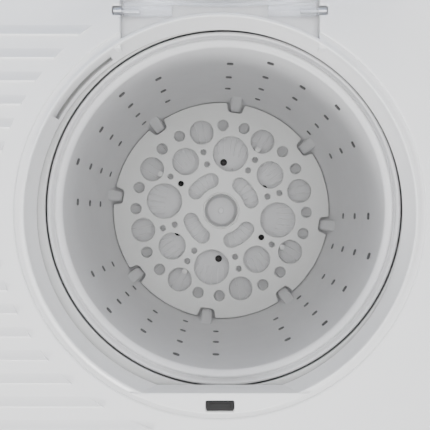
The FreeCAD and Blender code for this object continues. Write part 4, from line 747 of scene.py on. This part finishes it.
def makeBumper():
    low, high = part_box("lid_bumper")
    loop = roundOutline([(high[0], high[1], 0.0012), (low[0], high[1], 0.0012), (low[0], low[1], 0.0012),
                         (high[0], low[1], 0.0012)], 5)
    block = sheetFromLoops("bumperBlock", [loop], high[2], high[2] - low[2], 0.0006, 3)
    inner = roundOutline([(high[0] - 0.0022, high[1] - 0.0016, 0.0008), (low[0] + 0.0022, high[1] - 0.0016, 0.0008),
                          (low[0] + 0.0022, low[1] + 0.0016, 0.0008), (high[0] - 0.0022, low[1] + 0.0016, 0.0008)], 4)
    crown = sheetFromLoops("bumperCrown", [inner], high[2] + 0.0003, 0.0009, 0.0003, 2)
    piece = joined("bumperPad", block, crown)
    smooth(piece, 30)
    finish(piece, "black_rubber", "body", "lid_bumper")


makeBumper()


basket = {
    "lowRadius": 0.113, "highRadius": 0.1171, "top": 0.2577, "wall": 0.002, "firstColumn": 26.4, "step": 15.2,
    "slotHalf": 0.0026, "slotReach": 0.0022, "lip": 0.0003, "rowPitch": 0.0275, "firstRow": 0.02125,
}


def wallRadius(height):
    return basket["lowRadius"] + (basket["highRadius"] - basket["lowRadius"]) * (height - 0.006) / 0.2517


def makeBasketWall():  # cells in angle and height; the slotted ones carry a rounded slot
    verts, index, faces = [], {}, []

    def vertex(angle, height, depth):
        key = (round(angle % 360, 4), round(height, 6), round(depth, 6))
        if key not in index:
            index[key] = len(verts)
            r = wallRadius(height) + depth
            a = math.radians(angle)
            verts.append((r * math.cos(a), r * math.sin(a), height))
        return index[key]

    columns = []  # (start angle, end angle, kind) round the whole wall
    for group in range(4):
        start = basket["firstColumn"] + 90 * group - basket["step"] / 2
        for column in range(5):
            columns.append((start + column * basket["step"], start + (column + 1) * basket["step"], column % 2))
        columns.append((start + 5 * basket["step"], start + 90, -1))
    rowsTop = 0.264 - basket["firstRow"]
    cuts = [rowsTop - basket["rowPitch"] * i for i in range(8)]
    split = 8
    wall = basket["wall"]

    def side(angleLow, angleHigh, low, high):
        width, tall = angleHigh - angleLow, high - low
        loop = [(angleLow + width * i / split, low) for i in range(split)]
        loop += [(angleHigh, low + tall * i / split) for i in range(split)]
        loop += [(angleHigh - width * i / split, high) for i in range(split)]
        loop += [(angleLow, high - tall * i / split) for i in range(split)]
        return loop

    def grid(angleLow, angleHigh, low, high, rows):
        for i in range(split):
            for j in range(rows):
                a0 = angleLow + (angleHigh - angleLow) * i / split
                a1 = angleLow + (angleHigh - angleLow) * (i + 1) / split
                z0, z1 = low + (high - low) * j / rows, low + (high - low) * (j + 1) / rows
                inner = [vertex(a0, z0, 0), vertex(a0, z1, 0), vertex(a1, z1, 0), vertex(a1, z0, 0)]
                outer = [vertex(a0, z0, wall), vertex(a1, z0, wall), vertex(a1, z1, wall), vertex(a0, z1, wall)]
                faces.extend([inner, outer])

    def slotted(angleLow, angleHigh, low, high):
        middleAngle, middle = (angleLow + angleHigh) / 2, (low + high) / 2
        border = side(angleLow, angleHigh, low, high)
        count = len(border)
        radius = wallRadius(middle)

        def slotLoop(grow):
            half, reach = basket["slotHalf"] + grow, basket["slotReach"]
            loop = []
            for angle, height in border:
                dx, dz = math.radians(angle - middleAngle) * radius, height - middle
                away = Vector((dx, dz)).normalized()
                z = max(-reach, min(reach, dz * 0.35))
                if abs(z) < reach:
                    loop.append((middleAngle + math.degrees(math.copysign(half, dx) / radius), middle + z))
                else:
                    loop.append((middleAngle + math.degrees(away.x * half / radius),
                                 middle + math.copysign(reach, dz) + away.y * half))
            return loop

        lip, wide = basket["lip"], slotLoop(0.0026)
        soft, hole = slotLoop(lip * 0.3), slotLoop(0.0)
        stages = [(border, 0.0), (wide, 0.0), (slotLoop(lip), 0.0), (soft, lip * 0.3), (hole, lip),
                  (hole, wall - lip), (soft, wall - lip * 0.3), (slotLoop(lip), wall), (wide, wall), (border, wall)]
        for (first, depthA), (second, depthB) in zip(stages, stages[1:]):
            for i in range(count):
                n = (i + 1) % count
                faces.append([vertex(*first[i], depthA), vertex(*second[i], depthB), vertex(*second[n], depthB),
                              vertex(*first[n], depthA)])

    top, bottom = basket["top"], 0.0115
    for low, high, kind in columns:
        grid(low, high, cuts[0], top, 2)
        grid(low, high, bottom, cuts[-1], 4)
        for row in range(7):
            if kind == (row + 1) % 2:
                slotted(low, high, cuts[row + 1], cuts[row])
            else:
                grid(low, high, cuts[row + 1], cuts[row], split)
        for i in range(split):  # close the top edge
            a0, a1 = low + (high - low) * i / split, low + (high - low) * (i + 1) / split
            faces.append([vertex(a0, top, 0), vertex(a0, top, wall), vertex(a1, top, wall), vertex(a1, top, 0)])
    angles = sorted({key[0] for key in index if key[1] == round(bottom, 6) and key[2] == 0})
    profile = [(-0.0004, 0.0088), (-0.0015, 0.0062), (-0.0036, 0.0036), (-0.0066, 0.0014), (-0.0098, 0.0003),
               (-0.0130, 0.0), (-0.05, 0.0), (-0.0955, 0.0), (-0.0962, 0.0003), (-0.0988, 0.0027), (-0.0995, 0.0031),
               (-0.104, 0.0044), (-0.1095, 0.0049), (-0.1100, 0.0052), (-0.1100, 0.0061), (-0.1103, 0.0064),
               (-0.11295, 0.0064), (-0.11295, 0.0034), (-0.104, 0.0034), (-0.104, -0.0025), (-0.05, -0.0025),
               (-0.004, -0.0025), (0.0005, 0.0), (0.0018, 0.0080)]

    def floorVertex(angle, offset, height):
        key = (angle, "f", offset, height)
        if key not in index:
            index[key] = len(verts)
            r = basket["lowRadius"] + offset
            a = math.radians(angle)
            verts.append((r * math.cos(a), r * math.sin(a), height))
        return index[key]

    for i, a0 in enumerate(angles):
        a1 = angles[(i + 1) % len(angles)]
        left = [vertex(a0, bottom, 0)] + [floorVertex(a0, *p) for p in profile] + [vertex(a0, bottom, wall)]
        right = [vertex(a1, bottom, 0)] + [floorVertex(a1, *p) for p in profile] + [vertex(a1, bottom, wall)]
        for j in range(len(left) - 1):
            faces.append([left[j], right[j], right[j + 1], left[j + 1]])
    piece = outward(fromLists("basketWall", verts, faces))
    shade = piece.data.attributes.new("shade", "FLOAT", "POINT")
    for key, at in index.items():  # painted shade: full on the slots' insides, a little on the floor under the press plate
        shade.data[at].value = 0.14 if key[1] == "f" else float(0 < key[2] < wall)
    return piece


def wallRib(angle):  # fits a notch of the press plate and fades into the wall
    rows = []
    for k in range(25):
        z = 0.0002 + 0.052 * k / 24
        t = max(0.0, (z - 0.012) / 0.0402)
        proud = 0.0088 * (1 - t)
        half = 0.0066 - 0.0006 * t
        section = []
        for s in range(9):
            u = -1 + 2 * s / 8
            section.append((wallRadius(z) + 0.0008 - (proud + 0.0008) * (1 - abs(u) ** 7), u * half, z))
        section.append((wallRadius(z) + 0.0012, half, z))
        section.append((wallRadius(z) + 0.0012, -half, z))
        rows.append(section)
    verts = [v for row in rows for v in row]
    count = len(rows[0])
    faces = []
    for i in range(len(rows) - 1):
        for j in range(count):
            k = (j + 1) % count
            faces.append((i * count + j, i * count + k, (i + 1) * count + k, (i + 1) * count + j))
    faces.append(tuple(reversed(range(count))))
    faces.append(tuple((len(rows) - 1) * count + j for j in range(count)))
    piece = outward(fromLists("wallRib", verts, faces))
    piece.data.transform(Matrix.Rotation(math.radians(angle), 4, "Z"))
    return piece


def polarTree(name):  # copies of a unit round the axis
    tree, sockets, given, result = openTree(name, [
        ("Count", "Int", 6), ("First Angle", "Float", 0.0), ("Unit", "Object", None), ("Material", "Material", None)])
    points = addNode(tree, "GeometryNodePoints", {"Count": given["Count"]})
    number = addNode(tree, "GeometryNodeInputIndex").outputs[0]
    share = maths(tree, "DIVIDE", maths(tree, "MULTIPLY", number, 2 * math.pi), given["Count"])
    angle = addNode(tree, "ShaderNodeCombineXYZ", {"Z": maths(tree, "ADD", share, given["First Angle"])})
    unit = addNode(tree, "GeometryNodeObjectInfo", {"Object": given["Unit"]})
    copies = addNode(tree, "GeometryNodeInstanceOnPoints", {"Points": points.outputs[0], "Rotation": angle.outputs[0],
                                                            "Instance": unit.outputs["Geometry"]})
    real = addNode(tree, "GeometryNodeRealizeInstances", {"Geometry": copies.outputs[0]})
    coat = addNode(tree, "GeometryNodeSetMaterial", {"Geometry": real.outputs[0], "Material": given["Material"]})
    tree.links.new(coat.outputs[0], result[0])
    return tree, sockets


polar, polarSockets = polarTree("roundTheAxis")


def aroundAxis(name, unit, count, degrees, slotName, centre):
    host = meshObject(name, bpy.data.meshes.new(name))
    modifier = host.modifiers.new("round", "NODES")
    modifier.node_group = polar
    modifier[polarSockets["Count"].identifier] = count
    modifier[polarSockets["First Angle"].identifier] = math.radians(degrees)
    modifier[polarSockets["Unit"].identifier] = unit
    modifier[polarSockets["Material"].identifier] = finishes[slotName]
    settle(host)
    bpy.data.objects.remove(unit)
    host.data.transform(Matrix.Translation(centre))
    return host


def makeBasket():
    wall = makeBasketWall()
    pieces = [wall] + [wallRib(37 + 45 * k) for k in range(8)]
    ray = boxMesh("floorRay", (0.060, -0.0006, -0.0004), (0.104, 0.0006, 0.0009))
    bevelled(ray, 0.0003)
    rays = aroundAxis("floorRays", ray, 72, 2.0, "basket_white", (0, 0, 0))
    shortRay = boxMesh("hubRay", (0.024, -0.0005, -0.0004), (0.046, 0.0005, 0.0008))
    bevelled(shortRay, 0.00025)
    hubRays = aroundAxis("hubRays", shortRay, 36, 5.0, "basket_white", (0, 0, 0))
    piece = joined("spinBasket", *pieces, rays, hubRays)
    piece.data.transform(Matrix.Translation((spinAxis.x, spinAxis.y, basketFloor)))
    smooth(piece, 38)
    return finish(piece, "basket_white", "basket", "spin_basket")


rim = [  # (radius, height) of the balance ring in mm from the basket floor, crest at 264
    (116.2, 258.2), (116.2, 260.6), (116.4, 261.6), (117.0, 262.5), (118.0, 263.2), (119.2, 263.6), (120.2, 263.9),
    (121.0, 263.8), (121.6, 263.2), (122.2, 261.9), (122.7, 260.8), (123.2, 260.4), (123.8, 260.9), (124.4, 262.1),
    (125.1, 263.2), (126.0, 263.4), (126.9, 263.0), (127.5, 262.0), (128.0, 260.4), (128.0, 239.0), (127.5, 238.2),
    (120.3, 238.2), (119.7, 238.8), (119.7, 257.7), (119.4, 258.0), (116.5, 258.0),
]


def makeRim():
    verts, faces = turn([(r * mm, z * mm + basketFloor) for r, z in rim], 288, (spinAxis.x, spinAxis.y))
    piece = outward(fromLists("rimRing", verts, faces))
    smooth(piece, 50)
    return finish(piece, "basket_white", "basket", "basket_balance_ring")


tubBead = [  # (radius, height from the rim's crest) in mm
    (128.4, -0.9), (128.4, 1.0), (128.6, 1.4), (129.0, 1.6), (129.8, 1.6), (129.8, -0.9),
]


def makeTubBead():
    verts, faces = turn([(r * mm, z * mm + rimTop) for r, z in tubBead], 288, (spinAxis.x, spinAxis.y))
    piece = outward(fromLists("tubLipBead", verts, faces))
    smooth(piece, 50)
    return finish(piece, "tub_grey", "body")


def makeScrews():  # low domed heads with a cross slot
    dome = [(0.0001, -0.0010), (0.0024, -0.0010), (0.0024, 0.0), (0.0036, 0.0), (0.0036, 0.0009), (0.0032, 0.0017),
            (0.0024, 0.0023), (0.0012, 0.0026), (0.0001, 0.0026)]
    verts, faces = turn(dome, 28, (0.051, 0))
    head = outward(fromLists("screwHead", verts, faces))
    slots = [boxMesh("slotA", (0.0486, -0.0004, 0.0012), (0.0534, 0.0004, 0.004)),
             boxMesh("slotB", (0.0506, -0.0024, 0.0012), (0.0514, 0.0024, 0.004))]
    for slot in slots:
        modifier = head.modifiers.new("cross", "BOOLEAN")
        modifier.operation = "DIFFERENCE"
        modifier.object = slot
        modifier.solver = "EXACT"
    settle(head)
    for slot in slots:
        bpy.data.objects.remove(slot)
    screws = aroundAxis("basketScrews", head, 6, 27.0, "black_screw", (spinAxis.x, spinAxis.y, basketFloor))
    smooth(screws, 35)
    return finish(screws, "black_screw", "basket", "basket_screws")


makeBasket()
makeRim()
makeTubBead()
makeScrews()
print("basket made")


plate = {
    "radius": 0.1122, "top": 0.0145, "thick": 0.0025, "edge": 0.0007, "centreHole": 0.0168, "notchFrom": 37.0,
    "notch": [(-9.4, 111.8, 0.0016), (-6.9, 102.7, 0.0034), (6.9, 102.7, 0.0034), (9.4, 111.8, 0.0016)],
    "holes": [  # (how many, radius from the axis, first angle, hole radius)
        (4, 59.9, 80.5, 18.2), (4, 63.0, 36.0, 13.9), (8, 83.8, 14.0, 12.3), (8, 88.8, 29.3, 5.7),
        (8, 88.8, 43.7, 5.7), (4, 50.4, 16.8, 3.0), (4, 63.5, 16.8, 3.0), (4, 50.4, 56.2, 3.0), (4, 63.5, 56.2, 3.0),
    ],
    "bean": {"middle": 32.8, "half": 7.8, "first": 36.0, "reach": 17.5},
}


def plateOutline():
    corners = []
    for k in range(8):
        centre = math.radians(plate["notchFrom"] + 45 * k)
        for side, far, bend in plate["notch"]:
            corners.append((far * mm * math.cos(centre) - side * mm * math.sin(centre),
                            far * mm * math.sin(centre) + side * mm * math.cos(centre), bend))
        for s in range(1, 12):
            a = centre + math.radians(5.6 + (45 - 11.2) * s / 12)
            corners.append((plate["radius"] * math.cos(a), plate["radius"] * math.sin(a), 0))
    return roundOutline(corners, 5)


def beanLoop(turnBy):
    bean = plate["bean"]
    middle, half = bean["middle"] * mm, bean["half"] * mm
    low, high = (math.radians(turnBy + s * bean["reach"]) for s in (-1, 1))
    loop = circlePoints(0, 0, middle + half, 20, low, high)
    loop += circlePoints(middle * math.cos(high), middle * math.sin(high), half, 14, high, high + math.pi)[1:-1]
    loop += circlePoints(0, 0, middle - half, 14, high, low)
    loop += circlePoints(middle * math.cos(low), middle * math.sin(low), half, 14, low + math.pi,
                         low + 2 * math.pi)[1:-1]
    return loop


def makePlate():
    top = basketFloor + plate["top"]
    loops = [plateOutline(), circlePoints(0, 0, plate["centreHole"], 64)]
    for count, far, first, radius in plate["holes"]:
        for k in range(count):
            a = math.radians(first + 360 / count * k)
            loops.append(circlePoints(far * mm * math.cos(a), far * mm * math.sin(a), radius * mm,
                                      48 if radius > 8 else 28))
    loops += [beanLoop(plate["bean"]["first"] + 90 * k) for k in range(4)]
    sheet = sheetFromLoops("plateSheet", loops, 0, plate["thick"], plate["edge"], 3)
    hub = [(0.0172, -0.0022), (0.0172, 0.0002), (0.0176, 0.0008), (0.0184, 0.0008), (0.0192, 0.0003),
           (0.0198, -0.0006), (0.0198, -0.0022)]
    verts, faces = turn(hub, 96)
    boss = outward(fromLists("plateHub", verts, faces))
    foot = [(0.0001, -0.0129), (0.0018, -0.0129), (0.0022, -0.0125), (0.0026, -0.001), (0.0001, -0.001)]
    verts, faces = turn(foot, 20, (0.074, 0))
    unit = outward(fromLists("plateFoot", verts, faces))
    feet = aroundAxis("plateFeet", unit, 4, 59.0, "plate_white", (0, 0, 0))
    piece = joined("pressPlate", sheet, boss, feet)
    piece.data.transform(Matrix.Translation((spinAxis.x, spinAxis.y, top)))
    smooth(piece, 34)
    return finish(piece, "plate_white", "plate", "press_plate")


makePlate()
print("press plate made")


lid = {
    "radius": 0.1395, "centre": 0.138, "thick": 0.0024, "low": 0.0048, "tongueHalf": 0.0664, "lean": 98.0,
    "ringRadius": 0.094, "barrelFrom": 0.033, "barrelRadius": 0.0035, "barrelSides": 20,
}


def makeLid():
    r, half, back = lid["radius"], lid["tongueHalf"], lid["centre"]
    angle = math.acos(half / r)
    arc = circlePoints(0, -back, r, 160, math.pi - angle, 2 * math.pi + angle)
    loop = arc + [(half, 0.0008), (-half, 0.0008)]
    sheet = sheetFromLoops("lidSheet", [loop], lid["low"] + lid["thick"], lid["thick"], 0.0008, 3)
    skirt = [(r - 0.0024, 0.0034), (r - 0.0003, 0.0034), (r, 0.0037), (r - 0.0002, 0.0054), (r - 0.0026, 0.0054)]
    verts, faces = turn(skirt, 192, (0, -back))
    edge = outward(fromLists("lidSkirt", verts, faces))
    bead = [(lid["ringRadius"] - 0.002, 0.0068), (lid["ringRadius"] + 0.002, 0.0068),
            (lid["ringRadius"] + 0.0014, 0.0080), (lid["ringRadius"] - 0.0014, 0.0080)]
    verts, faces = turn(bead, 160, (0, -back))
    circle = outward(fromLists("lidBead", verts, faces))
    sides = lid["barrelSides"]
    barrelRows = circlePoints(0, 0, lid["barrelRadius"], sides)
    knuckles = []
    for low, high in ((-half, -lid["barrelFrom"]), (lid["barrelFrom"], half)):
        verts = [(x, y, z) for x in (low, high) for y, z in barrelRows]
        faces = [(k, (k + 1) % sides, sides + (k + 1) % sides, sides + k) for k in range(sides)]
        faces += [tuple(reversed(range(sides))), tuple(range(sides, 2 * sides))]
        knuckles.append(bevelled(outward(fromLists("lidBarrel", verts, faces)), 0.0004))
        web = boxMesh("lidWeb", (low, -0.0026, 0.0005), (high, 0.0012, 0.0056))
        knuckles.append(bevelled(web, 0.0005))
    piece = joined("spinLid", sheet, edge, circle, *knuckles)
    piece.data.transform(Matrix.Translation(lidHinge) @ Matrix.Rotation(-math.radians(lid["lean"]), 4, "X"))
    smooth(piece, 34)
    piece.visible_shadow = False  # clear plastic lets the light through
    return finish(piece, "lid_clear", "spin_lid_set", "spin_lid")


makeLid()
print("spin lid made")


edgeWidths = {  # how far the hard edges of these CAD shapes are rounded
    "spin_outer_tub": 0.0007, "wash_tub": 0.0012, "rear_cover_screws": 0.0004,
    "base_frame": 0.0016, "foot_pads": 0.0015, "cabinet_shell": 0.0007, "side_handle_cups": 0.0006,
    "rear_cover": 0.0004, "cord_gland": 0.0005, "console_housing": 0.0022, "console_fascia": 0.0006,
    "wash_lid": 0.0009, "wash_timer_knob": 0.0006, "spin_timer_knob": 0.0006, "selector_knob": 0.0006,
    "lint_filter": 0.0005, "pulsator": 0.0012, "inlet_spigot": 0.0005, "drain_spigot": 0.0005,
}
for node, width in edgeWidths.items():
    piece = refined(node, width)
    piece.visible_shadow = node != "wash_lid"
    print("rounded", node)
handled = set(edgeWidths) | {"top_deck", "lid_bumper", "spin_basket", "basket_balance_ring", "basket_screws",
                             "press_plate", "spin_lid"}
for node, part in nodes.items():
    if node not in handled:
        part.data.materials.clear()
        part.data.materials.append(finishes[slotOf[node]])
print("hidden parts given their finishes")


studio = {
    "floorHalf": 9, "windowPlace": (-0.75, -1.3, 0.42), "windowWide": 0.7, "windowHigh": 0.25, "windowPower": 8,
    "horizon": 1.2, "middle": 0.3, "overhead": 2.0, "lens": 64.6, "eye": (-0.0034, -0.0017, 0.525), "exposure": 0.6,
}


def makeStage():
    mesh = bpy.data.meshes.new("studioFloor")
    far = studio["floorHalf"]
    mesh.from_pydata([(-far, -far, 0), (far, -far, 0), (far, far, 0), (-far, far, 0)], [], [(0, 1, 2, 3)])
    floor = meshObject("studioFloor", mesh)
    material, tree, shader, place = newMaterial("paleFloor")
    cloud = addNode(tree, "ShaderNodeTexNoise", {"Vector": place, "Scale": 2.0, "Detail": 4.0})
    tree.links.new(mixColour(tree, cloud.outputs["Fac"], (0.80, 0.80, 0.80, 1), (0.84, 0.84, 0.84, 1)),
                   shader.inputs["Base Color"])
    setValues(shader, Roughness=0.8)
    mesh.materials.append(material)


def makeWindowLight():
    target = mouth + Vector((0, 0, deckTop))
    light = bpy.data.lights.new("windowLight", "AREA")
    light.shape = "RECTANGLE"
    light.size, light.size_y = studio["windowWide"], studio["windowHigh"]
    light.energy = studio["windowPower"]
    lamp = bpy.data.objects.new("windowLight", light)
    bpy.context.scene.collection.objects.link(lamp)
    lamp.location = target + Vector(studio["windowPlace"])
    lamp.rotation_euler = (-Vector(studio["windowPlace"])).to_track_quat("-Z", "Y").to_euler()


def makeWorld():  # brightness near the horizon, half way up and overhead
    low, middle, high = studio["horizon"], studio["middle"], studio["overhead"]
    world = bpy.data.worlds.new("softRoom")
    world.use_nodes = True
    tree = world.node_tree
    back = tree.nodes["Background"]
    ray = addNode(tree, "ShaderNodeTexCoord").outputs["Generated"]
    rise = addNode(tree, "ShaderNodeSeparateXYZ", {"Vector": ray}).outputs["Z"]
    first = remap(tree, rise, 0.30, 0.45, low, middle)
    second = remap(tree, rise, 0.80, 0.93, 0.0, high - middle)
    tree.links.new(maths(tree, "ADD", first, second), back.inputs["Strength"])
    back.inputs["Color"].default_value = (0.985, 0.99, 1.0, 1)
    bpy.context.scene.world = world


def makeCamera():
    camera = bpy.data.cameras.new("camera")
    camera.lens = studio["lens"]
    camera.sensor_width = 36
    eye = bpy.data.objects.new("camera", camera)
    bpy.context.scene.collection.objects.link(eye)
    eye.location = mouth + Vector((0, 0, deckTop)) + Vector(studio["eye"])  # straight down
    bpy.context.scene.camera = eye


makeStage()
makeWorld()
makeWindowLight()
makeCamera()
bpy.context.scene.view_settings.view_transform = "Filmic"
bpy.context.scene.view_settings.exposure = studio["exposure"]
print("stage made")
